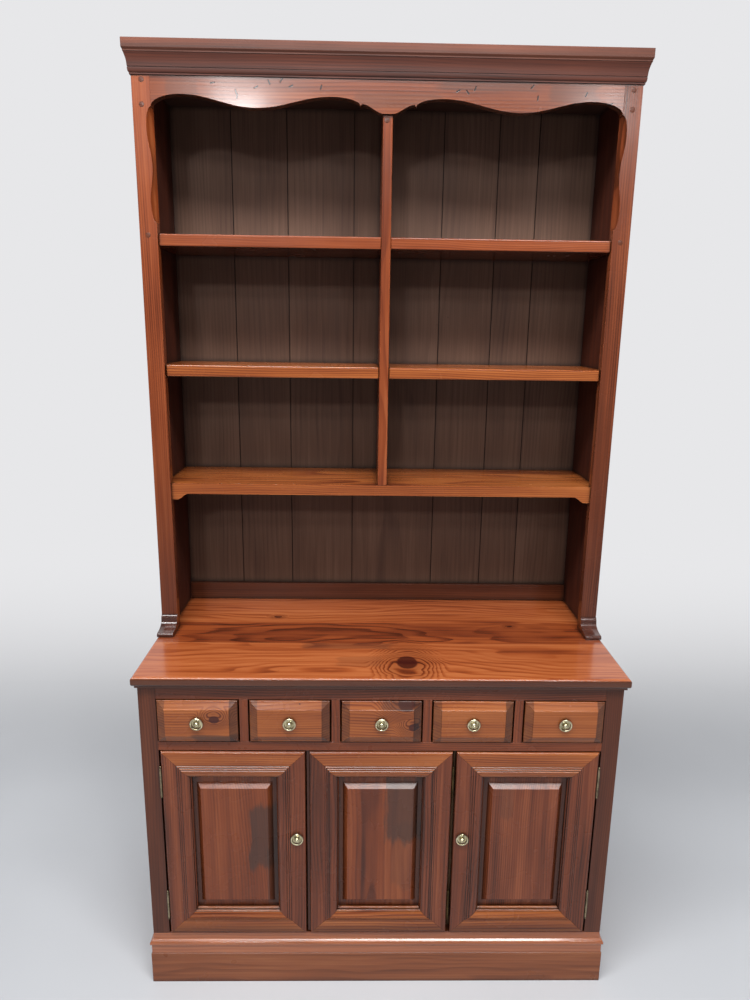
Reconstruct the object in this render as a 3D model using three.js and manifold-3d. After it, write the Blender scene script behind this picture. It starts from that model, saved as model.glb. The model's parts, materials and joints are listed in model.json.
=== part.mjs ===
// Dresser with an open hutch: a base with five drawers and three doors, and shelves above.
// Millimetres. X runs to the right, Y towards the wall, Z up. Y is zero at the base's face
// until the finished group is moved over its own centre.
import * as THREE from 'three';
import { mergeVertices } from 'three/addons/utils/BufferGeometryUtils.js';
import Module from 'manifold-3d';

const wasm = await Module();
wasm.setup();

// Clearances and small values shared by the whole piece
const restGap = 0.3;
const cutOverrun = 4;
const weldTolerance = 0.0003;
const curveSteps = 10;

// Base carcass
const caseWidth = 1000;
const caseDepth = 457;
const worktopHeight = 752;
const sideThickness = 18;
const frameThickness = 20;
const baseStileWidth = 36;
const backPanelThickness = 8;
const floorTop = 128.5;
const floorThickness = 18;
const middleRailHeight = 20;
const topRailHeight = 28.5;

// Worktop
const worktopThickness = 25;
const worktopFrontOverhang = 13;
const worktopSideOverhang = 9;
const worktopNoseDepth = 14;
const worktopNoseRound = 6;
const worktopStepDepth = 20;
const worktopStepInset = 5.5;

// Plinth
const plinthTop = 126;
const plinthOverhang = 6;
const plinthSeat = 98;
const plinthThickness = 24;
const plinthCapNose = 110;
const plinthBeadBottom = 102;
const plinthBeadProud = 1.5;
const plinthStepTop = 77;
const plinthStepBottom = 74;

// Drawers
const drawerCount = 5;
const drawerHeight = 94;
const drawerClearance = 1.5;
const muntinWidth = 18;
const muntinClearance = 3;
const drawerFrontThickness = 19;
const drawerEdgeProud = 3;
const drawerEdgeRound = 1.5;
const drawerBevelWidth = 16;
const drawerBevelRise = 6.5;
const drawerFieldStep = 1.5;
const drawerBoxDepth = 350;
const drawerBoxHeight = 76;
const drawerBoxInset = 1;
const drawerBoxWall = 11;
const drawerBoxBottom = 6;
const runnerClearance = 1;
const runnerHeight = 18;
const deckThickness = 12;

// Doors
const doorCount = 3;
const doorThickness = 22;
const doorProud = 5;
const doorEdgeRound = 6;
const doorFlatWidth = 33;
const outerReeds = 3;
const outerReedRun = 13;
const crestRise = 3.4;
const crestWidth = 11;
const innerReeds = 2;
const innerReedRun = 5;
const reedCrown = 0.9;
const reedSteps = 5;
const grooveDepth = 7;
const grooveFront = 7.5;
const panelTongue = 5.5;
const panelFit = 0.4;
const panelSideMargin = 9;
const panelEndMargin = 15;
const panelBevelWidth = 10;
const panelBevelRise = 11.8;
const doorFloorClearance = 1.5;
const hingeGap = 3.4;
const middleHingeGap = 7.2;
const meetingGap = 8;
const meetingStripClearance = 2.2;
const meetingStripRecess = 8;
const meetingStripLap = 2;

// Butt hinges
const hingeLength = 64;
const hingeInset = 72;
const hingeLeaf = 1.2;
const hingeLeafDepth = 15;
const hingeBarrelRadius = 2.2;
const hingePinRadius = 1.1;
const hingeBoreClearance = 0.3;
const hingeTipRadius = 2.1;
const hingeTipNeck = 1.2;
const hingeKnuckleShare = 0.34;
const hingeSegments = 10;
const longLeafReach = 22;

// Post behind the gap beside the middle door, and the catches that hold the doors shut
const postThickness = 18;
const postDepth = 70;
const catchWidth = 40;
const catchDepth = 16;
const catchHeight = 25;
const catchNoseHeight = 12;
const catchNoseReach = 2.4;
const catchFromEdge = 50;

// Ring pulls
const plateRadius = 10.5;
const plateThickness = 1.8;
const plateRim = 0.8;
const domeRadius = 5.8;
const domeNeckRadius = 3.4;
const domeReach = 9.5;
const ringRadius = 12;
const ringWire = 1.4;
const ringStandOff = 4.6;
const eyeRadius = 3.3;
const eyeWidth = 3.2;
const eyeClearance = 0.6;
const eyeNeckWidth = 3.6;
const pullSegments = 14;
const ringSegments = 18;
const wireSides = 6;
const doorPullFromEdge = 19;
const doorPullRise = 18;

// Hutch carcass
const hutchHeight = 1233;
const hutchDepth = 224;
const hutchSideThickness = 20;
const hutchStileWidth = 36.5;
const hutchStileThickness = 20;
const backBoardThickness = 12;
const backBoardGroove = 2;
const backBoardShares = [0.1407, 0.1302, 0.1577, 0.2107, 0.1298, 0.0940, 0.1369];
const backRailHeight = 42.5;
const backRailThickness = 12;
const dividerThickness = 20;
const shelfSetback = 6;

// Shelves of the hutch
const shelfThickness = 24;
const lowerShelfRise = 347;
const middleShelfRise = 261;
const upperShelfRise = 268;
const middleShelfEndGap = 1.5;
const shelfEdgeThickness = 19;
const earDepth = 13;
const earLength = 36;
const earFlatShare = 0.33;
const pinRadius = 2.5;
const pinLength = 10;
const pinSetback = 35;
const pinSegments = 10;

// Cornice and ceiling of the hutch
const corniceHeight = 62;
const corniceOverhang = 13;
const ceilingThickness = 20;
const ceilingLift = 1;
const corniceFootHeight = 3;
const corniceFootShare = 0.2;
const corniceCoveBottom = 10;
const corniceCoveTop = 38;
const corniceCoveInnerShare = 0.32;
const corniceCoveOuterShare = 0.84;
const corniceFillet = 3;
const corniceFascia = 17;

// Apron: drops below the cornice and places across the half span from the middle outwards
const apronThickness = 20;
const apronMiddleDrop = 62;
const apronNickDrop = 45;
const apronCuspDrop = 49;
const apronPeakDrop = 33;
const apronDipDrop = 56;
const apronFlatHalf = 8;
const apronNickShare = 0.112;
const apronCuspShare = 0.118;
const apronInnerPeakShare = 0.238;
const apronDipShare = 0.562;
const apronOuterPeakShare = 0.872;
const apronSteps = 7;

// Carved inner edge of the hutch stiles: heights below the cornice and the widths left there
const carveTopDrop = 56;
const carveDeepDrop = 95;
const carveBumpDrop = 168;
const carveDipDrop = 235;
const carveEndDrop = 275;
const carveDeepWidth = 25;
const carveBumpWidth = 33.5;
const carveDipWidth = 26.5;
const carveSteps = 6;

// Scroll foot at the bottom of each hutch stile
const footReach = 49;
const footHeight = 36;
const footToeHeight = 9;
const footBeadRadius = 3.5;
const footRollRadius = 6;
const footSteps = 6;

// Values that follow from the sizes above
const half = caseWidth / 2;
const caseTop = worktopHeight - worktopThickness;
const caseInner = half - sideThickness;
const openingHalf = half - baseStileWidth;
const drawerOpeningTop = caseTop - topRailHeight;
const drawerBottom = drawerOpeningTop - drawerClearance - drawerHeight;
const deckTop = drawerBottom - drawerClearance;
const middleRailBottom = deckTop - middleRailHeight;
const doorBottom = floorTop + doorFloorClearance;
const doorTop = middleRailBottom - doorFloorClearance;
const doorHeight = doorTop - doorBottom;
const doorRow = 2 * (openingHalf - hingeGap) - middleHingeGap - meetingGap;
const doorWidth = doorRow / doorCount;
const meetingStripWidth = meetingGap - meetingStripClearance;
const muntinPitchGap = muntinWidth + 2 * muntinClearance;
const drawerRow = 2 * (openingHalf - drawerClearance);
const drawerWidth = (drawerRow - (drawerCount - 1) * muntinPitchGap) / drawerCount;
const drawerPitch = drawerWidth + muntinPitchGap;
const backPanelFront = caseDepth - backPanelThickness;
const deckBottom = deckTop - deckThickness;
const doorBack = doorThickness - doorProud;
const hutchHalf = half + worktopSideOverhang;
const hutchFront = caseDepth - hutchDepth;
const hutchTop = worktopHeight + hutchHeight;
const hutchInner = hutchHalf - hutchSideThickness;
const stileInner = hutchHalf - hutchStileWidth;
const stileBack = hutchFront + hutchStileThickness;
const boardsFront = caseDepth - backBoardThickness;
const corniceBottom = hutchTop - corniceHeight;
const ceilingBottom = corniceBottom + ceilingLift;
const lowerShelfTop = worktopHeight + lowerShelfRise;
const middleShelfTop = lowerShelfTop + middleShelfRise;
const upperShelfTop = middleShelfTop + upperShelfRise;
const shelfFront = hutchFront + shelfSetback;
const drawerFieldProud = drawerEdgeProud + drawerBevelRise + drawerFieldStep;
const frontMost = -Math.max(drawerFieldProud + domeReach, worktopFrontOverhang);
const barrelY = -(hingeBarrelRadius + restGap);

// Finishes seen on the real piece
function finish(color, roughness, metalness) {
  return new THREE.MeshStandardMaterial({ color, roughness, metalness });
}
const frameWood = finish('#6b3423', 0.42, 0);
const topWood = finish('#8f4526', 0.32, 0);
const darkWood = finish('#4b2f24', 0.6, 0);
const innerWood = finish('#a9825a', 0.75, 0);
const brass = finish('#9a8a52', 0.38, 0.9);

// One welded body from any three.js geometry, with collapsed triangles left out
function weld(geometry) {
  const bare = geometry.clone();
  bare.deleteAttribute('normal');
  bare.deleteAttribute('uv');
  const merged = mergeVertices(bare, weldTolerance);
  const index = merged.index.array;
  const kept = [];
  for (let i = 0; i < index.length; i += 3) {
    const [a, b, c] = [index[i], index[i + 1], index[i + 2]];
    if (a !== b && b !== c && c !== a) kept.push(a, b, c);
  }
  merged.setIndex(kept);
  return merged;
}

function toSolid(geometry) {
  const welded = weld(geometry);
  return new wasm.Manifold(new wasm.Mesh({
    numProp: 3,
    vertProperties: new Float32Array(welded.attributes.position.array),
    triVerts: new Uint32Array(welded.index.array),
  }));
}

function fromSolid(solid) {
  const mesh = solid.getMesh();
  const geometry = new THREE.BufferGeometry();
  geometry.setAttribute('position', new THREE.BufferAttribute(mesh.vertProperties, 3));
  geometry.setIndex([...mesh.triVerts]);
  return geometry;
}

function join(...geometries) {
  return fromSolid(geometries.map(toSolid).reduce((whole, piece) => whole.add(piece)));
}

function cut(geometry, ...tools) {
  return fromSolid(tools.map(toSolid).reduce((whole, tool) => whole.subtract(tool), toSolid(geometry)));
}

// A skin over rings of equal point counts. Open stacks get end caps, closed ones join up.
function loft(rings, closed = false) {
  const count = rings[0].length;
  const index = [];
  const bands = closed ? rings.length : rings.length - 1;
  for (let r = 0; r < bands; r += 1) {
    const next = (r + 1) % rings.length;
    for (let i = 0; i < count; i += 1) {
      const j = (i + 1) % count;
      const [a, b, c, d] = [r * count + i, r * count + j, next * count + j, next * count + i];
      index.push(a, b, c, a, c, d);
    }
  }
  if (!closed) {
    const last = (rings.length - 1) * count;
    for (let i = 1; i < count - 1; i += 1) {
      index.push(0, i + 1, i, last, last + i, last + i + 1);
    }
  }
  const points = rings.flat();
  let volume = 0;
  for (let i = 0; i < index.length; i += 3) {
    const [a, b, c] = [points[index[i]], points[index[i + 1]], points[index[i + 2]]];
    volume += a.dot(b.clone().cross(c));
  }
  if (volume < 0) index.reverse();
  const geometry = new THREE.BufferGeometry().setFromPoints(points);
  geometry.setIndex(index);
  return geometry;
}

// Rectangle of points across the Y axis, shrunk by an inset on all four sides
function uprightRing(width, height, inset, y) {
  const x = width / 2 - inset;
  const z = height / 2 - inset;
  return [[-x, -z], [x, -z], [x, z], [-x, z]].map(([px, pz]) => new THREE.Vector3(px, y, pz));
}

// Rectangle of points across the Z axis, from a front line back to the wall side
function levelRing(xHalf, front, back, z) {
  return [[-xHalf, front], [xHalf, front], [xHalf, back], [-xHalf, back]]
    .map(([px, py]) => new THREE.Vector3(px, py, z));
}

function block(x0, x1, y0, y1, z0, z1) {
  const geometry = new THREE.BoxGeometry(x1 - x0, y1 - y0, z1 - z0);
  geometry.translate((x0 + x1) / 2, (y0 + y1) / 2, (z0 + z1) / 2);
  return geometry;
}

// An outline pushed along one axis: seen along X it is drawn in Y and Z, and so on
function pushed(outline, axis, from, to) {
  const geometry = new THREE.ExtrudeGeometry(outline, { depth: to - from, bevelEnabled: false });
  const turn = new THREE.Matrix4();
  if (axis === 'x') turn.set(0, 0, 1, from, 1, 0, 0, 0, 0, 1, 0, 0, 0, 0, 0, 1);
  if (axis === 'y') turn.set(1, 0, 0, 0, 0, 0, -1, to, 0, 1, 0, 0, 0, 0, 0, 1);
  if (axis === 'z') turn.makeTranslation(0, 0, from);
  return geometry.applyMatrix4(turn);
}

function shape(points) {
  return new THREE.Shape(points.map(([x, y]) => new THREE.Vector2(x, y)));
}

// Points of an arc or ellipse quarter between two angles, in quarter turns
function arc(centreX, centreY, radiusX, radiusY, fromQuarter, toQuarter, steps) {
  return Array.from({ length: steps + 1 }, (_, i) => {
    const angle = (fromQuarter + ((toQuarter - fromQuarter) * i) / steps) * (Math.PI / 2);
    return [centreX + radiusX * Math.cos(angle), centreY + radiusY * Math.sin(angle)];
  });
}

const dresser = new THREE.Group();

function add(parent, name, geometry, material) {
  const mesh = new THREE.Mesh(weld(geometry), material);
  mesh.name = name;
  parent.add(mesh);
  return mesh;
}

function groupAt(x, y, z) {
  const group = new THREE.Group();
  group.position.set(x, y, z);
  dresser.add(group);
  return group;
}

// Plinth: a moulded board in front and along both sides, with a seat inside for the carcass
function plinth() {
  const capDrop = plinthTop - plinthCapNose;
  const cove = arc(plinthOverhang, plinthTop, plinthOverhang, capDrop, 2, 3, curveSteps / 2);
  const bead = plinthOverhang + plinthBeadProud;
  const profile = [
    [plinthOverhang, 0],
    [plinthOverhang, plinthStepBottom],
    [plinthOverhang - plinthBeadProud, plinthStepTop],
    [plinthOverhang - plinthBeadProud, plinthBeadBottom],
    [bead, plinthBeadBottom + plinthBeadProud],
    [bead, plinthCapNose - plinthBeadProud],
    ...cove.reverse(),
  ];
  const rings = profile.map(([out, z]) => levelRing(half + out, -out, caseDepth, z));
  const seat = block(-half, half, 0, caseDepth + cutOverrun, plinthSeat, plinthTop + cutOverrun);
  const inner = block(
    -half + plinthThickness, half - plinthThickness,
    plinthThickness, caseDepth + cutOverrun,
    -cutOverrun, plinthTop + cutOverrun,
  );
  add(dresser, 'plinth', cut(loft(rings), seat, inner), frameWood);
}

// Base carcass behind the face frame
function baseCarcass() {
  for (const [side, name] of [[-1, 'base_side_left'], [1, 'base_side_right']]) {
    const [x0, x1] = [side * half, side * caseInner].sort((a, b) => a - b);
    add(dresser, name, block(x0, x1, frameThickness, caseDepth, plinthSeat, caseTop), frameWood);
  }
  add(dresser, 'base_floor', block(
    -caseInner, caseInner, frameThickness, backPanelFront, floorTop - floorThickness, floorTop,
  ), innerWood);
  add(dresser, 'base_back', block(
    -caseInner, caseInner, backPanelFront, caseDepth, plinthSeat, caseTop,
  ), innerWood);
}

// Drawer centres from left to right
const drawerPlaces = Array.from({ length: drawerCount }, (_, i) => (i - (drawerCount - 1) / 2) * drawerPitch);

// Face frame: stiles, rails and the posts between the drawers, glued up as one
function faceFrame() {
  const windows = drawerPlaces.map((x, i) => [
    i === 0 ? -openingHalf : x - drawerWidth / 2 - muntinClearance,
    i === drawerCount - 1 ? openingHalf : x + drawerWidth / 2 + muntinClearance,
    deckTop,
    drawerOpeningTop,
  ]);
  windows.push([-openingHalf, openingHalf, floorTop, middleRailBottom]);
  const holes = windows.map(([x0, x1, z0, z1]) => (
    block(x0, x1, -cutOverrun, frameThickness + cutOverrun, z0, z1)
  ));
  const board = block(-half, half, 0, frameThickness, plinthSeat, caseTop);
  add(dresser, 'base_face_frame', cut(board, ...holes), frameWood);
}

// Worktop with a rounded nose and a small step under it, on the front and both ends
function worktop() {
  const steps = curveSteps / 2;
  const stepFall = worktopStepDepth - worktopNoseDepth;
  const profile = [
    [worktopStepInset, -worktopThickness],
    [worktopStepInset, -worktopStepDepth],
    ...arc(worktopStepInset, -worktopNoseDepth, worktopStepInset, stepFall, 3, 2, steps).slice(1),
    ...arc(worktopNoseRound, -worktopNoseRound, worktopNoseRound, worktopNoseRound, 2, 1, steps),
  ];
  const rings = profile.map(([inset, z]) => levelRing(
    half + worktopSideOverhang - inset, -worktopFrontOverhang + inset, caseDepth, worktopHeight + z,
  ));
  add(dresser, 'worktop', loft(rings), topWood);
}

// Deck under the drawers, with a runner on each side of every drawer
function drawerDeck() {
  const boxHalf = drawerWidth / 2 - drawerBoxInset;
  const runnerTop = deckTop + runnerHeight;
  const edges = drawerPlaces.flatMap((x) => [x - boxHalf - runnerClearance, x + boxHalf + runnerClearance]);
  const ridge = [[-caseInner, runnerTop]];
  edges.forEach((x, i) => {
    const inside = i % 2 === 0;
    ridge.push([x, inside ? runnerTop : deckTop], [x, inside ? deckTop : runnerTop]);
  });
  ridge.push([caseInner, runnerTop], [caseInner, deckBottom], [-caseInner, deckBottom]);
  const deck = pushed(shape(ridge), 'y', frameThickness, backPanelFront);
  add(dresser, 'drawer_deck', join(deck, ...doorCatches()), innerWood);
}

// Post that carries the middle door's hinges, right behind the gap beside that door
const rightDoorLeft = openingHalf - hingeGap - doorWidth;
const middleDoorRight = rightDoorLeft - middleHingeGap;
const postLeft = middleDoorRight + hingeGap;
function hingePost() {
  add(dresser, 'hinge_post', block(
    postLeft, postLeft + postThickness, frameThickness, frameThickness + postDepth, floorTop, deckBottom,
  ), innerWood);
}

// The three doors: where each is centred, which edge its hinges are on and how far back the
// fixed leaves run. The pull is on the other edge, and the middle door has none.
const doorMiddleZ = doorBottom + doorHeight / 2;
const sideDoorX = openingHalf - hingeGap - doorWidth / 2;
const doors = [
  { name: 'door_left', x: -sideDoorX, hingeSide: -1, leafReach: hingeLeafDepth },
  {
    name: 'door_middle',
    x: middleDoorRight - doorWidth / 2,
    hingeSide: 1,
    leafReach: frameThickness + longLeafReach,
  },
  { name: 'door_right', x: sideDoorX, hingeSide: 1, leafReach: hingeLeafDepth },
];
const crestInset = doorFlatWidth + outerReedRun;
const frameInner = crestInset + crestWidth + innerReedRun;
const hingeHeights = [doorBottom + hingeInset, doorTop - hingeInset];

// Small round reeds side by side on a straight slope, swelling out to the left of its run
function reedSlope([x0, y0], [x1, y1], count) {
  const run = Math.hypot(x1 - x0, y1 - y0);
  const total = count * reedSteps;
  return Array.from({ length: total }, (_, i) => {
    const t = (i + 1) / total;
    const swell = (reedCrown * Math.abs(Math.sin(Math.PI * count * t))) / run;
    return [x0 + (x1 - x0) * t + (y1 - y0) * swell, y0 + (y1 - y0) * t - (x1 - x0) * swell];
  });
}

// Mitred door frame: rounded outer edge, flat, reeds up to a crest, a round fall from it, reeds
// down its inner side and a groove for the panel
function doorFrame() {
  const face = -doorProud;
  const crest = [crestInset, face - crestRise];
  const fall = [crestInset + crestWidth, face];
  const fallTurn = 2 * Math.atan2(crestRise, crestWidth);
  const fallRadius = crestWidth / Math.sin(fallTurn);
  const fallEnd = 3 + fallTurn / (Math.PI / 2);
  const grooveBack = grooveFront + panelTongue + 2 * restGap;
  const profile = [
    [0, doorBack],
    ...arc(doorEdgeRound, face + doorEdgeRound, doorEdgeRound, doorEdgeRound, 2, 3, curveSteps / 2),
    [doorFlatWidth, face],
    ...reedSlope([doorFlatWidth, face], crest, outerReeds),
    ...arc(
      crestInset, face - crestRise + fallRadius, fallRadius, fallRadius, 3, fallEnd, curveSteps / 2,
    ).slice(1),
    ...reedSlope(fall, [frameInner, grooveFront], innerReeds),
    [frameInner - grooveDepth, grooveFront],
    [frameInner - grooveDepth, grooveBack],
    [frameInner, grooveBack],
    [frameInner, doorBack],
  ];
  return loft(profile.map(([inset, y]) => uprightRing(doorWidth, doorHeight, inset, y)), true);
}

// Raised panel: a tongue all round, a margin that is wider at both ends, a steep bevel and a
// flat field
function doorPanel() {
  const tongue = frameInner - grooveDepth + panelFit;
  const side = frameInner + panelSideMargin;
  const end = frameInner + panelEndMargin;
  const front = grooveFront + restGap;
  const levels = [
    [tongue, tongue, front + panelTongue],
    [tongue, tongue, front],
    [side, end, front],
    [side + panelBevelWidth, end + panelBevelWidth, front - panelBevelRise],
  ];
  return loft(levels.map(([sideInset, endInset, y]) => (
    uprightRing(doorWidth - 2 * sideInset, doorHeight - 2 * endInset, 0, y)
  )));
}

// Outline turned about the hinge's own upright axis
function turned(points, segments) {
  const geometry = new THREE.LatheGeometry(points.map(([x, y]) => new THREE.Vector2(x, y)), segments);
  return geometry.rotateX(Math.PI / 2);
}

// Half of the length taken by the knuckle that turns with the door
const movingKnuckle = (hingeLength * hingeKnuckleShare) / 2;

// The leaf's plate between two lines in front of and behind the barrel's axis. A let-in plate
// reaches a little into the wood that carries it.
function leafPlate(side, fromY, toY, fromZ, toZ, letIn = 0) {
  const [x0, x1] = [side * (hingeGap / 2 - hingeLeaf), side * (hingeGap / 2 + letIn)].sort((a, b) => a - b);
  return block(x0, x1, fromY, toY, fromZ, toZ);
}

// Fixed leaf with its two knuckles, the pin and the pin's ball tips
function fixedLeaf(side, reach) {
  const end = hingeLength / 2;
  const inner = movingKnuckle + restGap;
  const tip = end + hingeTipNeck + hingeTipRadius;
  const halfProfile = [
    [hingePinRadius, inner],
    [hingeBarrelRadius, inner],
    [hingeBarrelRadius, end],
    [hingePinRadius, end],
    [hingePinRadius, end + hingeTipNeck / 2],
    ...arc(0, tip, hingeTipRadius, hingeTipRadius, -0.5, 1, 4),
  ];
  halfProfile[halfProfile.length - 1][0] = 0;
  const lower = halfProfile.map(([x, y]) => [x, -y]).reverse();
  const barrel = turned([...lower, ...halfProfile], hingeSegments);
  const plateStart = restGap - barrelY;
  return join(
    barrel,
    leafPlate(side, plateStart, reach - barrelY, -end, end),
    leafPlate(side, 0, plateStart + restGap, inner, end),
    leafPlate(side, 0, plateStart + restGap, -end, -inner),
  );
}

// Moving leaf: the plate let into the door's edge and a bored middle knuckle
function movingLeaf(side) {
  const bore = hingePinRadius + hingeBoreClearance;
  const end = hingeLength / 2;
  const plateStart = -doorProud + doorEdgeRound - barrelY;
  return cut(
    join(
      uprightRod(hingeBarrelRadius, movingKnuckle),
      leafPlate(side, 0, plateStart + restGap, -movingKnuckle, movingKnuckle),
      leafPlate(side, plateStart, hingeLeafDepth - barrelY, -end, end, restGap),
    ),
    uprightRod(bore, movingKnuckle + cutOverrun),
  );
}

function uprightRod(radius, halfLength) {
  const side = [[0, -halfLength], [radius, -halfLength], [radius, halfLength], [0, halfLength]];
  return turned(side, hingeSegments);
}

// Ring pull: a round plate with a ball in its middle and an eye at the top for the ring
function pullPlate() {
  const ballCentre = domeReach - domeRadius;
  const profile = [
    [0, 0],
    [plateRadius, 0],
    [plateRadius, plateRim],
    [plateRadius - plateRim, plateThickness],
    [domeNeckRadius, plateThickness],
    ...arc(0, ballCentre, domeRadius, domeRadius, 0, 1, 4),
  ];
  profile[profile.length - 1][0] = 0;
  const plate = new THREE.LatheGeometry(profile.map(([x, y]) => new THREE.Vector2(x, y)), pullSegments);
  plate.rotateX(Math.PI);
  const hole = ringWire + eyeClearance;
  const eye = crossBar(eyeRadius, eyeWidth);
  const neck = block(
    -eyeWidth / 2, eyeWidth / 2, -ringStandOff, 0,
    ringRadius - eyeNeckWidth / 2, ringRadius + eyeNeckWidth / 2,
  );
  return cut(join(plate, eye, neck), crossBar(hole, eyeWidth + cutOverrun));
}

// Short bar lying across the top of the ring, on the line that the ring swings about
function crossBar(radius, length) {
  const bar = new THREE.CylinderGeometry(radius, radius, length, pullSegments);
  bar.rotateZ(Math.PI / 2);
  return bar.translate(0, -ringStandOff, ringRadius);
}

function pullRing() {
  const ring = new THREE.TorusGeometry(ringRadius, ringWire, wireSides, ringSegments);
  ring.rotateX(Math.PI / 2);
  return ring.translate(0, -ringStandOff, 0);
}

const plateGeometry = pullPlate();
const ringGeometry = pullRing();

function addPull(parent, name, x, y, z) {
  const holder = new THREE.Group();
  holder.position.set(x, y, z);
  parent.add(holder);
  add(holder, `${name}_pull`, plateGeometry, brass);
  add(holder, `${name}_ring`, ringGeometry, brass);
}

function buildDoors() {
  const frame = doorFrame();
  const panel = doorPanel();
  const strip = block(
    -doorWidth / 2 - meetingStripWidth, -doorWidth / 2 + meetingStripLap,
    -doorProud + meetingStripRecess, doorBack,
    -doorHeight / 2, doorHeight / 2,
  );
  for (const door of doors) {
    const group = groupAt(door.x, 0, doorMiddleZ);
    const middle = door.name === 'door_middle';
    const axisX = door.hingeSide * (doorWidth / 2 + hingeGap / 2);
    const leaves = hingeHeights.map((z) => (
      movingLeaf(-door.hingeSide).translate(axisX, barrelY, z - doorMiddleZ)
    ));
    const extras = middle ? [strip, ...leaves] : leaves;
    add(group, `${door.name}_frame`, join(frame, ...extras), frameWood);
    add(group, `${door.name}_panel`, panel, frameWood);
    hingeHeights.forEach((z, i) => {
      const fixed = fixedLeaf(door.hingeSide, door.leafReach).translate(door.x + axisX, barrelY, z);
      add(dresser, `${door.name}_hinge_${i + 1}`, fixed, brass);
    });
    if (!middle) {
      const pullX = -door.hingeSide * (doorWidth / 2 - doorPullFromEdge);
      addPull(group, door.name, pullX, -doorProud, doorPullRise);
    }
  }
}

// Catches fixed under the deck, one behind the free top corner of each door
function doorCatches() {
  const bottom = deckBottom - catchHeight;
  const back = frameThickness + catchDepth;
  const nose = frameThickness - catchNoseReach;
  const outline = shape([
    [nose, bottom], [back, bottom], [back, deckBottom + restGap], [frameThickness, deckBottom + restGap],
    [frameThickness, bottom + catchNoseHeight], [nose, bottom + catchNoseHeight],
  ]);
  return doors.map((door) => {
    const x = door.x - door.hingeSide * (doorWidth / 2 - catchFromEdge);
    return pushed(outline, 'x', x - catchWidth / 2, x + catchWidth / 2);
  });
}

// Drawers: a raised front, an open box behind it and a ring pull
function buildDrawers() {
  const edge = -drawerEdgeProud;
  const fieldY = -drawerFieldProud;
  const frontBack = drawerFrontThickness - drawerEdgeProud;
  const levels = [
    [0, frontBack],
    [0, edge + drawerEdgeRound],
    [drawerEdgeRound, edge],
    [drawerBevelWidth, fieldY + drawerFieldStep],
    [drawerBevelWidth, fieldY],
  ];
  const front = loft(levels.map(([inset, y]) => uprightRing(drawerWidth, drawerHeight, inset, y)));
  const boxHalf = drawerWidth / 2 - drawerBoxInset;
  const boxBack = frontBack + drawerBoxDepth;
  const boxBottom = -drawerHeight / 2 - drawerClearance + restGap;
  const boxTop = boxBottom + drawerBoxHeight;
  const inside = [boxHalf - drawerBoxWall, frontBack + drawerBoxWall, boxBack - drawerBoxWall];
  const box = loft([
    levelRing(boxHalf, frontBack, boxBack, boxBottom),
    levelRing(boxHalf, frontBack, boxBack, boxTop),
    levelRing(...inside, boxTop),
    levelRing(...inside, boxBottom + drawerBoxBottom),
  ]);
  drawerPlaces.forEach((x, i) => {
    const group = groupAt(x, 0, drawerBottom + drawerHeight / 2);
    add(group, `drawer_${i + 1}_front`, front, frameWood);
    add(group, `drawer_${i + 1}_box`, box, innerWood);
    addPull(group, `drawer_${i + 1}`, 0, fieldY, 0);
  });
}

// A smooth step from one point to the next, level at both ends
function levelBlend([x0, z0], [x1, z1], steps) {
  return Array.from({ length: steps }, (_, i) => {
    const t = (i + 1) / steps;
    return [x0 + (x1 - x0) * t, z0 + ((z1 - z0) * (1 - Math.cos(Math.PI * t))) / 2];
  });
}

// A quarter curve that starts steep and ends level, or the other way round
function quarterBlend([x0, z0], [x1, z1], steps, steepFirst) {
  return Array.from({ length: steps }, (_, i) => {
    const angle = (((i + 1) / steps) * Math.PI) / 2;
    const [slow, fast] = [1 - Math.cos(angle), Math.sin(angle)];
    return steepFirst
      ? [x0 + (x1 - x0) * slow, z0 + (z1 - z0) * fast]
      : [x0 + (x1 - x0) * fast, z0 + (z1 - z0) * slow];
  });
}

// Apron under the cornice: a centre drop, and on each side an arch, a dip and a second arch
function apron() {
  const at = (share, drop) => [stileInner * share, -drop];
  const middle = [apronFlatHalf, -apronMiddleDrop];
  const nick = at(apronNickShare, apronNickDrop);
  const cusp = at(apronCuspShare, apronCuspDrop);
  const innerPeak = at(apronInnerPeakShare, apronPeakDrop);
  const dip = at(apronDipShare, apronDipDrop);
  const outerPeak = at(apronOuterPeakShare, apronPeakDrop);
  const end = at(1, carveTopDrop);
  const edge = [
    middle,
    ...levelBlend(middle, nick, apronSteps),
    cusp,
    ...quarterBlend(cusp, innerPeak, apronSteps, true),
    ...levelBlend(innerPeak, dip, apronSteps + apronSteps),
    ...levelBlend(dip, outerPeak, apronSteps + apronSteps),
    ...quarterBlend(outerPeak, end, apronSteps, false),
  ];
  const mirrored = edge.map(([x, z]) => [-x, z]).reverse();
  const bottom = [...mirrored, ...edge].map(([x, z]) => [x, corniceBottom + z]);
  const outline = shape([...bottom, [stileInner, hutchTop], [-stileInner, hutchTop]]);
  add(dresser, 'hutch_apron', pushed(outline, 'y', hutchFront, hutchFront + apronThickness), frameWood);
}

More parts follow.
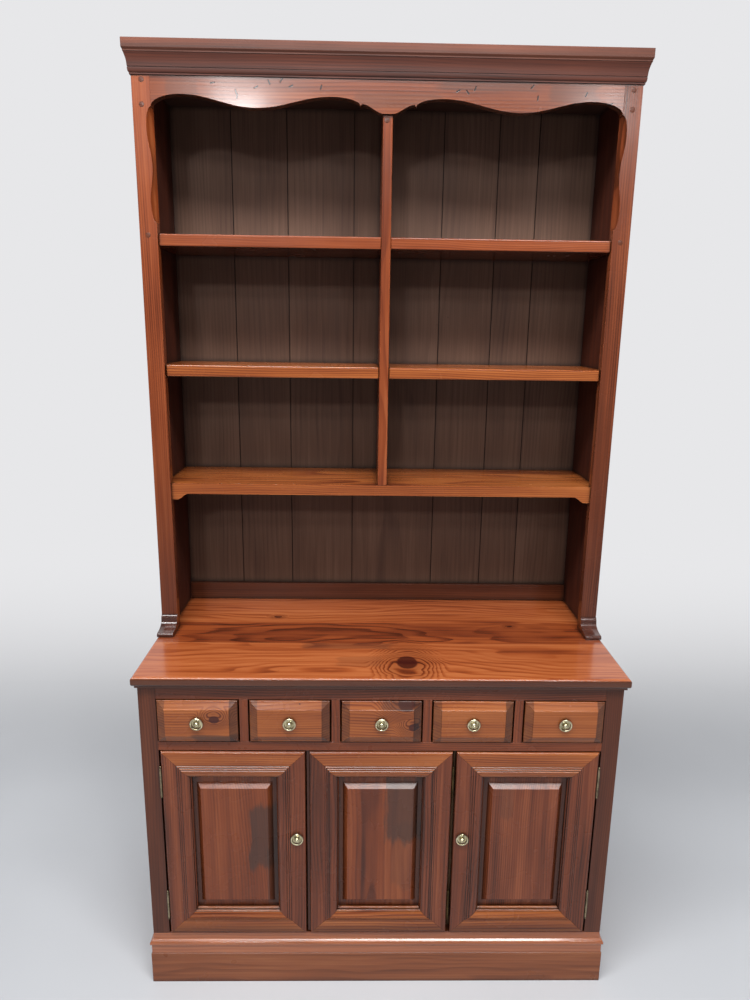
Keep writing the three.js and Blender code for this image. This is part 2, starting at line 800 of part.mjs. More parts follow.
// Hutch stile: its front inner edge is carved in scallops, its back edge stays straight
function stileBody(side) {
  const key = [
    [hutchStileWidth, carveTopDrop],
    [carveDeepWidth, carveDeepDrop],
    [carveBumpWidth, carveBumpDrop],
    [carveDipWidth, carveDipDrop],
    [hutchStileWidth, carveEndDrop],
  ];
  const flip = ([width, drop]) => [drop, width];
  const [top, deep, bump, dip, end] = key.map(flip);
  const carved = [
    top,
    ...quarterBlend(top, deep, carveSteps, true),
    ...levelBlend(deep, bump, carveSteps + carveSteps),
    ...levelBlend(bump, dip, carveSteps + carveSteps),
    ...quarterBlend(dip, end, carveSteps, false),
  ];
  const stations = [
    [hutchTop, hutchStileWidth],
    ...carved.map(([drop, width]) => [corniceBottom - drop, width]),
    [worktopHeight, hutchStileWidth],
  ];
  return loft(stations.map(([z, width]) => [
    new THREE.Vector3(side * hutchHalf, hutchFront, z),
    new THREE.Vector3(side * (hutchHalf - width), hutchFront, z),
    new THREE.Vector3(side * stileInner, stileBack, z),
    new THREE.Vector3(side * hutchHalf, stileBack, z),
  ]));
}

// Scroll foot in side view: a roll at the top, a hollow and a beaded toe on the worktop
function footOutline() {
  const toeCentre = hutchFront - footReach + footBeadRadius;
  const rollBottom = worktopHeight + footHeight - footRollRadius;
  const toeTop = worktopHeight + footToeHeight;
  const points = [
    [stileBack, worktopHeight],
    [stileBack, worktopHeight + footHeight],
    ...arc(hutchFront, rollBottom, footRollRadius, footRollRadius, 1, 2, footSteps),
    ...arc(
      toeCentre, rollBottom, hutchFront - footRollRadius - toeCentre, rollBottom - toeTop, 0, -1, footSteps,
    ).slice(1),
    ...arc(toeCentre, toeTop - footBeadRadius, footBeadRadius, footBeadRadius, 1, 2, footSteps).slice(1),
    [toeCentre - footBeadRadius, worktopHeight],
  ];
  return shape(points);
}

function hutchSides() {
  const foot = footOutline();
  for (const [side, word] of [[-1, 'left'], [1, 'right']]) {
    const [x0, x1] = [side * hutchHalf, side * stileInner].sort((a, b) => a - b);
    const [s0, s1] = [side * hutchHalf, side * hutchInner].sort((a, b) => a - b);
    const [p0, p1] = [side * (hutchInner - pinLength), side * (hutchInner + pinLength)].sort((a, b) => a - b);
    const board = block(s0, s1, stileBack, caseDepth, worktopHeight, hutchTop);
    add(dresser, `hutch_stile_${word}`, join(stileBody(side), pushed(foot, 'x', x0, x1)), frameWood);
    add(dresser, `hutch_side_${word}`, join(board, ...shelfPins(p0, p1)), frameWood);
  }
}

// Back of the hutch: tongued boards of mixed widths, with a small groove at each joint
function hutchBack() {
  let joint = -hutchInner;
  const total = backBoardShares.reduce((sum, share) => sum + share);
  const front = [[-hutchInner, boardsFront]];
  backBoardShares.slice(0, -1).forEach((share) => {
    joint += (2 * hutchInner * share) / total;
    front.push(
      [joint - backBoardGroove, boardsFront], [joint, boardsFront + backBoardGroove],
      [joint + backBoardGroove, boardsFront],
    );
  });
  const back = [[hutchInner, boardsFront], [hutchInner, caseDepth], [-hutchInner, caseDepth]];
  const outline = shape([...front, ...back]);
  add(dresser, 'hutch_back_boards', pushed(outline, 'z', worktopHeight, hutchTop), darkWood);
  add(dresser, 'hutch_back_rail', block(
    -hutchInner, hutchInner, boardsFront - backRailThickness, boardsFront,
    worktopHeight, worktopHeight + backRailHeight,
  ), frameWood);
}

function hutchCeiling() {
  add(dresser, 'hutch_ceiling', block(
    -hutchInner, hutchInner, Math.max(stileBack, hutchFront + apronThickness), boardsFront,
    ceilingBottom, ceilingBottom + ceilingThickness,
  ), darkWood);
}

// Pins under the middle shelves, driven into an upright board from x0 to x1
function shelfPins(x0, x1) {
  const z = middleShelfTop - shelfThickness - restGap - pinRadius;
  return [stileBack + pinSetback, boardsFront - pinSetback].map((y) => {
    const pin = new THREE.CylinderGeometry(pinRadius, pinRadius, x1 - x0, pinSegments);
    return pin.rotateZ(Math.PI / 2).translate((x0 + x1) / 2, y, z);
  });
}

// Upright divider, notched at the top to pass behind the apron
function divider() {
  const notchZ = corniceBottom - apronMiddleDrop - restGap;
  const notchY = hutchFront + apronThickness + restGap;
  const outline = shape([
    [shelfFront, lowerShelfTop], [boardsFront, lowerShelfTop], [boardsFront, ceilingBottom],
    [notchY, ceilingBottom], [notchY, notchZ], [shelfFront, notchZ],
  ]);
  const board = pushed(outline, 'x', -dividerThickness / 2, dividerThickness / 2);
  const pinReach = dividerThickness / 2 + pinLength;
  add(dresser, 'hutch_divider', join(board, ...shelfPins(-pinReach, pinReach)), frameWood);
}

// Shelf seen from above, from the divider to one side, notched round the stile
function shelfOutline(side, fromX, gap) {
  return shape([
    [fromX, shelfFront], [stileInner - gap, shelfFront], [stileInner - gap, stileBack + gap],
    [hutchInner - gap, stileBack + gap], [hutchInner - gap, boardsFront - gap], [fromX, boardsFront - gap],
  ].map(([x, y]) => [side * x, y]));
}

function hutchShelves() {
  const inner = dividerThickness / 2;
  const levels = [['upper', upperShelfTop, 0], ['middle', middleShelfTop, middleShelfEndGap]];
  for (const [side, word] of [[-1, 'left'], [1, 'right']]) {
    for (const [name, top, gap] of levels) {
      const shelf = pushed(shelfOutline(side, inner + gap, gap), 'z', top - shelfThickness, top);
      add(dresser, `${name}_shelf_${word}`, shelf, frameWood);
    }
  }
}

// Lower shelf across the full width, with a front edge that hangs down in an ear at each end
function lowerShelf() {
  const bottom = lowerShelfTop - shelfThickness;
  const earEnd = [stileInner - earLength, bottom];
  const earStart = [stileInner - earLength * earFlatShare, bottom - earDepth];
  const right = [earEnd, ...levelBlend(earEnd, earStart, apronSteps), [stileInner, bottom - earDepth]];
  const left = right.map(([x, z]) => [-x, z]).reverse();
  const edge = shape([...left, ...right, [stileInner, lowerShelfTop], [-stileInner, lowerShelfTop]]);
  const board = shape([
    [-stileInner, shelfFront], [stileInner, shelfFront], [stileInner, stileBack], [hutchInner, stileBack],
    [hutchInner, boardsFront], [-hutchInner, boardsFront], [-hutchInner, stileBack], [-stileInner, stileBack],
  ]);
  add(dresser, 'lower_shelf', join(
    pushed(board, 'z', bottom, lowerShelfTop),
    pushed(edge, 'y', shelfFront, shelfFront + shelfEdgeThickness),
  ), frameWood);
}

// Cornice: foot, cove, fillet and fascia, mitred round the front and both ends
function cornice() {
  const foot = corniceOverhang * corniceFootShare;
  const coveInner = corniceOverhang * corniceCoveInnerShare;
  const coveOuter = corniceOverhang * corniceCoveOuterShare;
  const profile = [
    [foot, 0],
    [foot, corniceFootHeight],
    [coveInner, corniceFootHeight],
    ...arc(
      coveOuter, corniceCoveBottom, coveOuter - coveInner, corniceCoveTop - corniceCoveBottom,
      2, 1, curveSteps / 2,
    ),
    [coveOuter, corniceCoveTop + corniceFillet],
    [corniceOverhang, corniceHeight - corniceFascia],
    [corniceOverhang, corniceHeight],
  ];
  const rings = profile.map(([out, z]) => levelRing(
    hutchHalf + out, hutchFront - out, caseDepth, corniceBottom + z,
  ));
  const carcass = block(
    -hutchHalf, hutchHalf, hutchFront, caseDepth + cutOverrun,
    corniceBottom - cutOverrun, hutchTop + cutOverrun,
  );
  add(dresser, 'hutch_cornice', cut(loft(rings), carcass), frameWood);
}

plinth();
baseCarcass();
faceFrame();
worktop();
drawerDeck();
hingePost();
buildDoors();
buildDrawers();
hutchSides();
apron();
hutchBack();
hutchCeiling();
divider();
hutchShelves();
lowerShelf();
cornice();

// The origin is under the middle of the whole piece, at the floor
dresser.position.y = -(frontMost + caseDepth) / 2;

export default dresser;
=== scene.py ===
# Looks of a stained pine dresser with an open hutch. Metres, +Z up, the front faces -Y.
import json
import math
import random

import bmesh
import bpy
from mathutils import Matrix, Vector


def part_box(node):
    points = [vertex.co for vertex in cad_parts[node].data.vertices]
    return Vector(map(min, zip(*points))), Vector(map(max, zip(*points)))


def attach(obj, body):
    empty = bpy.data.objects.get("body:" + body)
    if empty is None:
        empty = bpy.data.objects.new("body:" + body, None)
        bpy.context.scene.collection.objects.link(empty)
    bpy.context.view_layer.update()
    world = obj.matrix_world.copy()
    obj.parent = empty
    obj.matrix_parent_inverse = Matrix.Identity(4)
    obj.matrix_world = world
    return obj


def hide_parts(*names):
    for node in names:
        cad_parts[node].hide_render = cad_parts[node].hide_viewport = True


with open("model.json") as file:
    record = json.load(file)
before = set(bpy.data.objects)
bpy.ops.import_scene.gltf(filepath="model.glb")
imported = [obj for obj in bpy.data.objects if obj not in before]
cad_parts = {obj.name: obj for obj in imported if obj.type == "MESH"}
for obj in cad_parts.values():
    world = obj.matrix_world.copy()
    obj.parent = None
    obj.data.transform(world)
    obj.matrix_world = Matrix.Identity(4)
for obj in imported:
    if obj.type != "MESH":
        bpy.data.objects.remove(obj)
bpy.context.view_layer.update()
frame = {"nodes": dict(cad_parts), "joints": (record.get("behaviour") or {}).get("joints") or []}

# Camera, as fitted to the photograph's frame of 750 by 1000
IMAGE_HEIGHT_PX = 1000
FOCAL_PX = 720.6
SENSOR = 36
CAMERA_PLACE = (-0.0456, -1.5667, 1.4394)
# Pitch, yaw and roll
CAMERA_TURN = (0.2316, 0.0189, 0.0139)

# Eased edges of the wood and steps of the curves
EASE = 0.0012
SHELF_EASE = 0.0024
FINE_EASE = 0.0006
EASE_ANGLE = math.radians(16)
CURVE_STEPS = 10
JOINT_LINE = 0.00015
# A radius under this counts as a point on the axis
AXIS_LIMIT = 1e-7

# Members of a mitred frame that stand upright
UPRIGHTS = ("left", "right")

# Door frame profile, measured in from the frame's outer edge and back from its face
REST_GAP = 0.0003
DOOR_THICK = 0.022
DOOR_ROUND = 0.006
DOOR_FLAT = 0.033
OUTER_REEDS = 3
OUTER_REED_RUN = 0.013
CREST_RISE = 0.0034
CREST_WIDTH = 0.011
INNER_REEDS = 2
INNER_REED_RUN = 0.005
REED_CROWN = 0.0013
DOOR_EASE = 0.0004
REED_STEPS = 8
GROOVE_FRONT = 0.0125
GROOVE_WIDTH = 0.0061
GROOVE_DEPTH = 0.007
PANEL_TONGUE = 0.0055
PANEL_FIT = 0.0004
PANEL_SIDE_MARGIN = 0.009
PANEL_END_MARGIN = 0.015
PANEL_BEVEL = 0.010
PANEL_RISE = 0.0118
GAP_STRIP_RECESS = 0.008
GAP_STRIP_LAP = 0.002

# Drawer front profile
DRAWER_EDGE = 0.003
DRAWER_FIELD_EDGE = 0.0008
DRAWER_BEVEL = 0.016
DRAWER_RISE = 0.0065
DRAWER_STEP = 0.0015
DRAWER_DARK_END = 0.018

# Face frame
STILE = 0.036
POST = 0.018
FRAME_TOP_RAIL = 0.0285
FRAME_MIDDLE_RAIL = 0.020
FRAME_BOTTOM_RAIL = 0.0305
FRAME_THICK = 0.020
DRAWER_GAP = 0.0015

# Ring pulls: plate, rim of the plate, ball, ring, the eye that the ring hangs in and half its neck
PLATE_RADIUS = 0.0105
PLATE_THICK = 0.0018
RIM_HALF = 0.0011
RIM_LEVEL = 0.0009
RIM_HEIGHT = 0.0010
RIM_HOLLOW = 0.003
PLATE_SLOPE = 0.0042
BALL_RADIUS = 0.0058
BALL_REACH = 0.0095
NECK_RADIUS = 0.0034
RING_RADIUS = 0.012
RING_WIRE = 0.0014
RING_SWELL = 0.00007
RING_STAND_OFF = 0.0046
RING_TURNS = 56
WIRE_SIDES = 12
EYE_RADIUS = 0.0031
EYE_CROWN = 0.0002
EYE_BORE = 0.0019
EYE_WIDTH = 0.003
EYE_NECK = (0.0012, 0.0017)
PLATE_SIDES = 48
EYE_SIDES = 28
KNUCKLE_SIDES = 24

# Hinges
BARREL_RADIUS = 0.0022
BARREL_HALF = 0.032
KNUCKLE_HALF = 0.0109
KNUCKLE_GAP = 0.0003
TIP_RADIUS = 0.0021
TIP_NECK = 0.0012
LEAF_THICK = 0.0012
LEAF_DEPTH = 0.0145

# Hutch
BOARD_SHARES = (0.1407, 0.1302, 0.1577, 0.2107, 0.1298, 0.0940, 0.1369)
BACK_GROOVE = 0.0012
BACK_GROOVE_DEPTH = 0.004
PEG_RADIUS = 0.0052
PEG_PROUD = 0.0004
PEG_DOME = ((1, 0), (0.9, 1), (0.5, 1.5), (0, 1.7))
PEG_SIDES = 24

# Colours of knots, dents and stains, of the backdrop and of the floor
KNOT_CORE = "#3a100c"
NICK = "#1c0c08"
GREY_STAIN = "#3f2d26"
WALL = "#e7e7e9"
FLOOR_DARK = "#c6c8cc"
FLOOR_LIGHT = "#ccced2"


def linear(code):
    """Linear colour of a hex code written as it looks on a screen."""
    values = [int(code[i:i + 2], 16) / 255 for i in (1, 3, 5)]
    return [v / 12.92 if v <= 0.04045 else ((v + 0.055) / 1.055) ** 2.4 for v in values] + [1]


class Graph:
    """A material's node tree, with short calls that add a node and return its output."""

    def __init__(self, name):
        self.material = bpy.data.materials.new(name)
        self.material.use_nodes = True
        self.tree = self.material.node_tree
        self.shader = self.tree.nodes["Principled BSDF"]

    def node(self, kind, inputs=(), **settings):
        made = self.tree.nodes.new(kind)
        for key, value in settings.items():
            setattr(made, key, value)
        for key, value in dict(inputs).items():
            self.put(made.inputs[key], value)
        return made

    def put(self, socket, value):
        if isinstance(value, bpy.types.NodeSocket):
            self.tree.links.new(value, socket)
        else:
            socket.default_value = value

    def math(self, operation, a, b=0.0):
        return self.node("ShaderNodeMath", {0: a, 1: b}, operation=operation).outputs[0]

    def add(self, a, b):
        return self.math("ADD", a, b)

    def times(self, a, b):
        return self.math("MULTIPLY", a, b)

    def smooth(self, value, low, high):
        """0 below low, 1 above high, smooth between. Low may be the larger one."""
        made = self.node(
            "ShaderNodeMapRange", {0: value, 1: low, 2: high}, interpolation_type="SMOOTHSTEP")
        return made.outputs[0]

    def noise(self, vector, scale=1.0, detail=2.0, roughness=0.5):
        inputs = {"Vector": vector, "Scale": scale, "Detail": detail, "Roughness": roughness}
        return self.node("ShaderNodeTexNoise", inputs).outputs[0]

    def ramp(self, factor, stops):
        made = self.node("ShaderNodeValToRGB", {0: factor})
        elements = made.color_ramp.elements
        while len(elements) < len(stops):
            elements.new(0.5)
        for element, (place, colour) in zip(elements, stops):
            element.position = place
            element.color = linear(colour)
        return made.outputs[0]

    def mix(self, factor, a, b):
        return self.node("ShaderNodeMix", {0: factor, 6: a, 7: b}, data_type="RGBA").outputs[2]

    def bump(self, height, strength, distance):
        inputs = {"Height": height, "Strength": strength, "Distance": distance}
        return self.node("ShaderNodeBump", inputs).outputs[0]

    def surface(self, values):
        """Sets the shader's own sockets, by their names."""
        for name, value in values.items():
            self.put(self.shader.inputs[name], value)
        return self.material


# Finishes: roughness, coat, strength of growth rings, clouds and streaks, and the tones of the wood,
# which are its dark lines, darker wood, middle and light wood
FINISH = {
    "orange": (0.26, 0.14, 0.18, 0.55, 0.65, "#5a2812", "#7f3e1d", "#975327", "#b16838"),
    "red": (0.25, 0.12, 0.14, 0.65, 0.80, "#4a1e0d", "#672e16", "#7e3c1d", "#94502d"),
    "apron": (0.24, 0.20, 0.12, 0.70, 0.60, "#38180d", "#592a17", "#6f361c", "#864929"),
    "panel": (0.28, 0.12, 0.12, 0.55, 0.65, "#3a190e", "#5c2b17", "#77391c", "#904e2b"),
    "door": (0.27, 0.12, 0.14, 0.75, 0.80, "#30140c", "#522715", "#6c341d", "#88492b"),
    "shade": (0.34, 0.05, 0.10, 0.60, 0.70, "#2e150d", "#442114", "#552b1a", "#683823"),
    "base": (0.30, 0.12, 0.10, 0.60, 0.65, "#4a2514", "#6f3b20", "#854a2a", "#9b603c"),
    "cap": (0.20, 0.90, 0.10, 0.45, 0.50, "#6a3519", "#8d4c28", "#a35b34", "#ba7448"),
    "foot": (0.20, 1.00, 0.10, 0.50, 0.50, "#1e0f0a", "#361b12", "#4a251a", "#5c3124"),
    "cove": (0.58, 0.00, 0.10, 0.60, 0.60, "#180a06", "#30140b", "#441d10", "#592a19"),
    "fascia": (0.52, 0.00, 0.10, 0.70, 0.60, "#2c130b", "#4c2313", "#653019", "#7b3f24"),
    "top": (0.22, 0.40, 0.14, 0.44, 0.62, "#3f180b", "#73331a", "#9a4c25", "#b5673a"),
    "back": (0.66, 0.00, 0.06, 0.55, 0.22, "#2b1d18", "#4c362c", "#5f4638", "#715748"),
    "bare": (0.60, 0.00, 0.16, 0.35, 0.34, "#7b5434", "#a27650", "#b58a62", "#c9a27a"),
}
TONE_PLACES = (0.08, 0.36, 0.60, 0.88)
# Noises: scale along and across the grain, and for some their detail and roughness
WANDER_GRAIN = (1.1, 5)
SWIRL_GRAIN = (2.2, 9)
PATCH_GRAIN = (2.5, 22)
FIBRE_GRAIN = (6, 380, 3, 0.6)
STREAK_GRAIN = (1.3, 70, 3, 0.55)
CLOUD_GRAIN = (2.6, 13, 3, 0.55)
KNOT_GRAIN = (18, 40)
STAIN_GRAIN = (9, 45, 4, 0.6)
# How far the rings wander, and the ranges of the middle of the tree beside and behind the board
WANDER = 0.055
SWIRL = 0.03
TREE_SIDE = (-0.03, 0.03)
TREE_BEHIND = (0.05, 0.09)
# Where in a ring its dark line begins and ends, and how faint the rings are in places
RING_DARKENS = (0.30, 0.84)
RING_ENDS = (1.0, 0.88)
FAINT_RINGS = 0.2
PATCH_RANGE = (-0.15, 0.15)
SHEEN = 0.33
COAT_ROUGHNESS = 0.12
FIBRE_CONTRAST = 0.38
KNOT_RINGS = 6.5
KNOT_PULL = 0.6
KNOT_RAGGED = 0.6
KNOT_HALO = 0.25
KNOT_DEPTH = 0.9
KNOT_REACH = 3.8
CORE_RIPPLE = 0.3
CORE_EDGE = 0.8
BOARD_CONTRAST = 0.32
BOARD_JUMP = 5.0
BUMP_DEPTH = 0.0006
BUMP_STRENGTH = 0.22
FIBRE_RISE = 0.35
RING_RISE = 0.3
DENT_SINK = 1.5
UNEVEN_SCALE = 12.0
ROUGH_SPREAD = 0.16
# Edges of a nick and a stain, where 1 is their nominal size, and how ragged a stain is
NICK_EDGE = (1.3, 0.8)
STAIN_EDGE = (1.12, 0.86)
STAIN_RAGGED = 1.2
# Small dents: how close they lie, where they gather, and how sharp each is
DENT_SCALE = 24.0
DENT_PATCHES = 8.0
DENT_CHOICE = (0.57, 0.6)
DENT_EDGE = (0.06, 0.035)
# Painted shade in hollows, in a dark colour that the fades and the lines between reeds also use: how far off
# a surface counts, how shut in the place is, and its depth
DARK_TINT = "#1b0d09"
SHADE_REACH = 0.014
SHADE_RANGE = (0.95, 0.40)
SHADE_DEPTH = 0.8
# Painted shade on wood that faces down: upward part of the direction it faces, and depth
UNDER_RANGE = (-0.3, -0.8)
UNDER_DEPTH = 0.7
# Painted shade lines between the reeds of the doors: half their width, and depth
GROOVE_LINE = 0.0013
GROOVE_SHADE = 0.7


class Wood(Graph):
    """Stained pine. The letters of axes say which way the grain runs, then across and through."""

    def __init__(self, name, axes, tone, seed):
        super().__init__(name)
        self.draw = random.Random(seed)
        self.shift = self.draw.uniform(2, 9)
        self.rough, self.coat, self.rings, self.clouds, self.streaks, *self.tones = FINISH[tone]
        self.place = self.node("ShaderNodeTexCoord").outputs["Object"]
        parts = self.node("ShaderNodeSeparateXYZ", {0: self.place}).outputs
        self.along, self.across, self.through = (parts["xyz".index(letter)] for letter in axes)
        self.bent = self.across
        self.board_tint = 0.5
        self.jump = self.core = self.halo = self.nicks = 0.0

    def grain(self, along, across, detail=2, roughness=0.5):
        """Noise about zero, pulled out along the grain."""
        run = self.times(self.add(self.along, self.add(self.jump, self.shift)), along)
        place = {0: run, 1: self.times(self.bent, across), 2: self.times(self.through, across)}
        vector = self.node("ShaderNodeCombineXYZ", place).outputs[0]
        return self.add(self.noise(vector, 1.0, detail, roughness), -0.5)

    def distance(self, a, b):
        return self.math("SQRT", self.add(self.times(a, a), self.times(b, b)))

    def boards(self, edges):
        """Glued boards, parted at the edges given across the grain. Each has its own grain and tint."""
        number = 0.0
        for edge in edges:
            number = self.add(number, self.math("GREATER_THAN", self.across, edge))
        chance = self.node(
            "ShaderNodeTexWhiteNoise", {"W": self.add(number, self.shift)}, noise_dimensions="1D")
        self.board_tint = chance.outputs[0]
        self.jump = self.times(self.board_tint, BOARD_JUMP)

    def knot(self, along, across, radius, stretch):
        """Dark core with a ragged edge. The grain bends round it, and rings lie close about it."""
        gone = self.times(self.add(self.along, -along), 1 / stretch)
        side = self.add(self.across, -across)
        ripple = self.times(self.grain(*KNOT_GRAIN), radius * KNOT_RAGGED)
        even = self.distance(gone, side)
        core = self.smooth(self.add(even, self.times(ripple, CORE_RIPPLE)), radius, radius * CORE_EDGE)
        self.core = self.math("MAXIMUM", self.core, core)
        far = self.add(even, ripple)
        pull = self.math("DIVIDE", radius * radius, self.add(self.times(far, far), radius * radius))
        self.bent = self.add(self.bent, self.times(self.times(side, pull), -KNOT_PULL))
        near = self.smooth(far, radius * KNOT_REACH, radius)
        self.halo = self.math("MAXIMUM", self.halo, near)

    def nick(self, along, across, length, width, lean):
        """Short dark dent, leaning from the grain by an angle."""
        gone = self.add(self.along, -along)
        side = self.add(self.across, -across)
        cos, sin = math.cos(lean), math.sin(lean)
        run = self.add(self.times(gone, cos), self.times(side, sin))
        off = self.add(self.times(side, cos), self.times(gone, -sin))
        far = self.math("MAXIMUM", self.times(self.math("ABSOLUTE", run), 2 / length),
                        self.times(self.math("ABSOLUTE", off), 2 / width))
        self.nicks = self.math("MAXIMUM", self.nicks, self.smooth(far, *NICK_EDGE))

    def tint(self, colour, cover, depth, code):
        """Colour with another one over it, where and as deep as told."""
        return self.mix(self.times(cover, depth), colour, linear(code))

    def stain(self, colour, along, across, length, width, depth):
        """Ragged darker patch."""
        ragged = self.times(self.grain(*STAIN_GRAIN), STAIN_RAGGED)
        gone = self.times(self.math("ABSOLUTE", self.add(self.along, -along)), 2 / length)
        side = self.times(self.math("ABSOLUTE", self.add(self.across, -across)), 2 / width)
        cover = self.smooth(self.add(self.math("MAXIMUM", gone, side), ragged), *STAIN_EDGE)
        return self.tint(colour, cover, depth, GREY_STAIN)

    def fade(self, colour, axis, start, end, depth):
        """Darker colour that comes in from a start to an end place on one of the grain's axes."""
        return self.tint(colour, self.smooth(getattr(self, axis), start, end), depth, DARK_TINT)

    def groove(self, colour, place):
        """Painted shade: a dark line along the grain, between two reeds."""
        off = self.math("ABSOLUTE", self.add(self.across, -place))
        return self.tint(colour, self.smooth(off, GROOVE_LINE, 0.0), GROOVE_SHADE, DARK_TINT)

    def ring_lines(self, ring):
        """Dark lines of the growth rings, some of them faint, about a tree that wanders along its length."""
        side = self.add(self.add(self.bent, self.draw.uniform(*TREE_SIDE)),
                        self.times(self.grain(*WANDER_GRAIN), WANDER))
        depth = self.add(self.add(self.through, self.draw.uniform(*TREE_BEHIND)),
                         self.times(self.grain(*SWIRL_GRAIN), SWIRL))
        phase = self.add(self.times(self.distance(side, depth), 1 / ring), self.times(self.halo, KNOT_RINGS))
        phase = self.math("FRACT", phase)
        late = self.times(self.smooth(phase, *RING_DARKENS), self.smooth(phase, *RING_ENDS))
        patchy = self.smooth(self.grain(*PATCH_GRAIN), *PATCH_RANGE)
        shown = self.add(self.times(patchy, 1 - FAINT_RINGS), FAINT_RINGS)
        return self.times(late, self.add(shown, self.halo))

    def bare_colour(self, late, fibre):
        """Colour of the wood before stains, fades and painted shade, from the rings, the fibre, streaks and
        clouds.
        """
        value = self.add(TONE_PLACES[2], self.times(late, -2 * self.rings))
        value = self.add(value, self.times(fibre, FIBRE_CONTRAST))
        value = self.add(value, self.times(self.grain(*STREAK_GRAIN), self.streaks))
        value = self.add(value, self.times(self.grain(*CLOUD_GRAIN), self.clouds))
        value = self.add(value, self.times(self.add(self.board_tint, -0.5), BOARD_CONTRAST))
        colour = self.ramp(value, list(zip(TONE_PLACES, self.tones)))
        colour = self.tint(colour, self.halo, KNOT_HALO, self.tones[0])
        return self.tint(colour, self.core, KNOT_DEPTH, KNOT_CORE)

    def painted_shade(self, colour):
        """Painted shade in hollows, and on wood that faces down."""
        open_air = self.node("ShaderNodeAmbientOcclusion", {"Distance": SHADE_REACH}, samples=6).outputs["AO"]
        colour = self.tint(colour, self.smooth(open_air, *SHADE_RANGE), SHADE_DEPTH, DARK_TINT)
        facing = self.node("ShaderNodeNewGeometry").outputs["Normal"]
        upward = self.node("ShaderNodeSeparateXYZ", {0: facing}).outputs[2]
        return self.tint(colour, self.smooth(upward, *UNDER_RANGE), UNDER_DEPTH, DARK_TINT)

    def dents(self, marks):
        """Small round dents here and there, and the nicks that have a place of their own."""
        spots = self.node("ShaderNodeTexVoronoi", {"Vector": self.place, "Scale": DENT_SCALE}).outputs[0]
        chosen = self.smooth(self.noise(self.place, DENT_PATCHES, 1.0), *DENT_CHOICE)
        dent = self.times(self.times(self.smooth(spots, *DENT_EDGE), chosen), marks)
        return self.math("MAXIMUM", dent, self.nicks)

    def finish(self, ring=0.005, knots=(), stains=(), fades=(), nicks=(), edges=(), marks=0.3, grooves=()):
        """The material, with what is particular to one board, all placed along and across its grain."""
        if edges:
            self.boards(edges)
        for knot in knots:
            self.knot(*knot)
        for nick in nicks:
            self.nick(*nick)
        late = self.ring_lines(ring)
        fibre = self.grain(*FIBRE_GRAIN)
        colour = self.bare_colour(late, fibre)
        for patch in stains:
            colour = self.stain(colour, *patch)
        for patch in fades:
            colour = self.fade(colour, *patch)
        for place in grooves:
            colour = self.groove(colour, place)
        dent = self.dents(marks)
        uneven = self.noise(self.place, UNEVEN_SCALE, 3)
        height = self.add(self.add(self.times(fibre, FIBRE_RISE), self.times(late, RING_RISE)), uneven)
        height = self.add(height, self.times(dent, -DENT_SINK))
        return self.surface({
            "Base Color": self.mix(dent, self.painted_shade(colour), linear(NICK)),
            "Roughness": self.add(self.rough - ROUGH_SPREAD / 2, self.times(uneven, ROUGH_SPREAD)),
            "Normal": self.bump(height, BUMP_STRENGTH, BUMP_DEPTH),
            "Specular IOR Level": SHEEN, "Coat Weight": self.coat, "Coat Roughness": COAT_ROUGHNESS,
        })


# Brass: noises for its patina and blotches, where it is dark and light, and how far it varies
PATINA = (260, 4, 0.6)
BLOTCH = (55, 2)
BRASS_DARK_AT, BRASS_LIGHT_AT = 0.34, 0.6
BRASS_SPREAD = 0.2
BRASS_BUMP = (0.2, 0.0002)


def brass(name, dark, light, roughness):
    g = Graph(name)
    place = g.node("ShaderNodeTexCoord").outputs["Object"]
    patina = g.noise(place, *PATINA)
    wear_and_dark_edge = g.times(g.add(patina, g.noise(place, *BLOTCH)), 0.5)
    return g.surface({
        "Base Color": g.ramp(wear_and_dark_edge, [(BRASS_DARK_AT, dark), (BRASS_LIGHT_AT, light)]), "Metallic": 1,
        "Roughness": g.add(roughness, g.times(patina, BRASS_SPREAD)), "Normal": g.bump(patina, *BRASS_BUMP),
    })


# Brass darkened as painted shade, for the middle door's hinges in the shadow of the gap
SHADED_BRASS = brass("shaded_brass", "#2b2115", "#5c4c30", 0.40)
PULL_BRASS = brass("pull_brass", "#a59c74", "#ebe3c2", 0.20)
HINGE_BRASS = brass("hinge_brass", "#574a38", "#a3967a", 0.26)


def soften(obj, ease):
    """Rounds the edges of a finished shape."""
    bevel = obj.modifiers.new("Eased edges", "BEVEL")
    bevel.width = ease
    bevel.segments = 3
    bevel.limit_method = "ANGLE"
    bevel.angle_limit = EASE_ANGLE


def add_object(name, data):
    made = bpy.data.objects.new(name, data)
    bpy.context.scene.collection.objects.link(made)
    return made


def piece(name, solids, body, material, ease, replaces=""):
    """One object from closed point and face lists. It moves with a body and may stand for a CAD node."""
    points = []
    faces = []
    for solid_points, solid_faces in solids:
        faces += [[i + len(points) for i in face] for face in solid_faces]
        points += [Vector(p) for p in solid_points]
    mesh = bpy.data.meshes.new(name)
    mesh.from_pydata(points, [], faces)
    shape = bmesh.new()
    shape.from_mesh(mesh)
    bmesh.ops.remove_doubles(shape, verts=shape.verts, dist=JOINT_LINE / 10)
    bmesh.ops.recalc_face_normals(shape, faces=shape.faces)
    shape.to_mesh(mesh)
    shape.free()
    mesh.shade_smooth()
    if not ease:
        mesh.set_sharp_from_angle(angle=EASE_ANGLE)
    mesh.materials.append(material)
    obj = add_object(name, mesh)
    if ease:
        soften(obj, ease)
    normals = obj.modifiers.new("Flat faces stay flat beside rounded edges", "WEIGHTED_NORMAL")
    normals.keep_sharp = True
    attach(obj, body)
    if replaces:
        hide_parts(replaces)


def board(name, solid, axes, tone, seed, replaces="", ease=FINE_EASE, body="carcass", **looks):
    """A stained board of one solid, with a finish of its own."""
    material = Wood(f"{name}_pine", axes, tone, seed).finish(**looks)
    piece(name, [solid], body, material, ease, replaces)


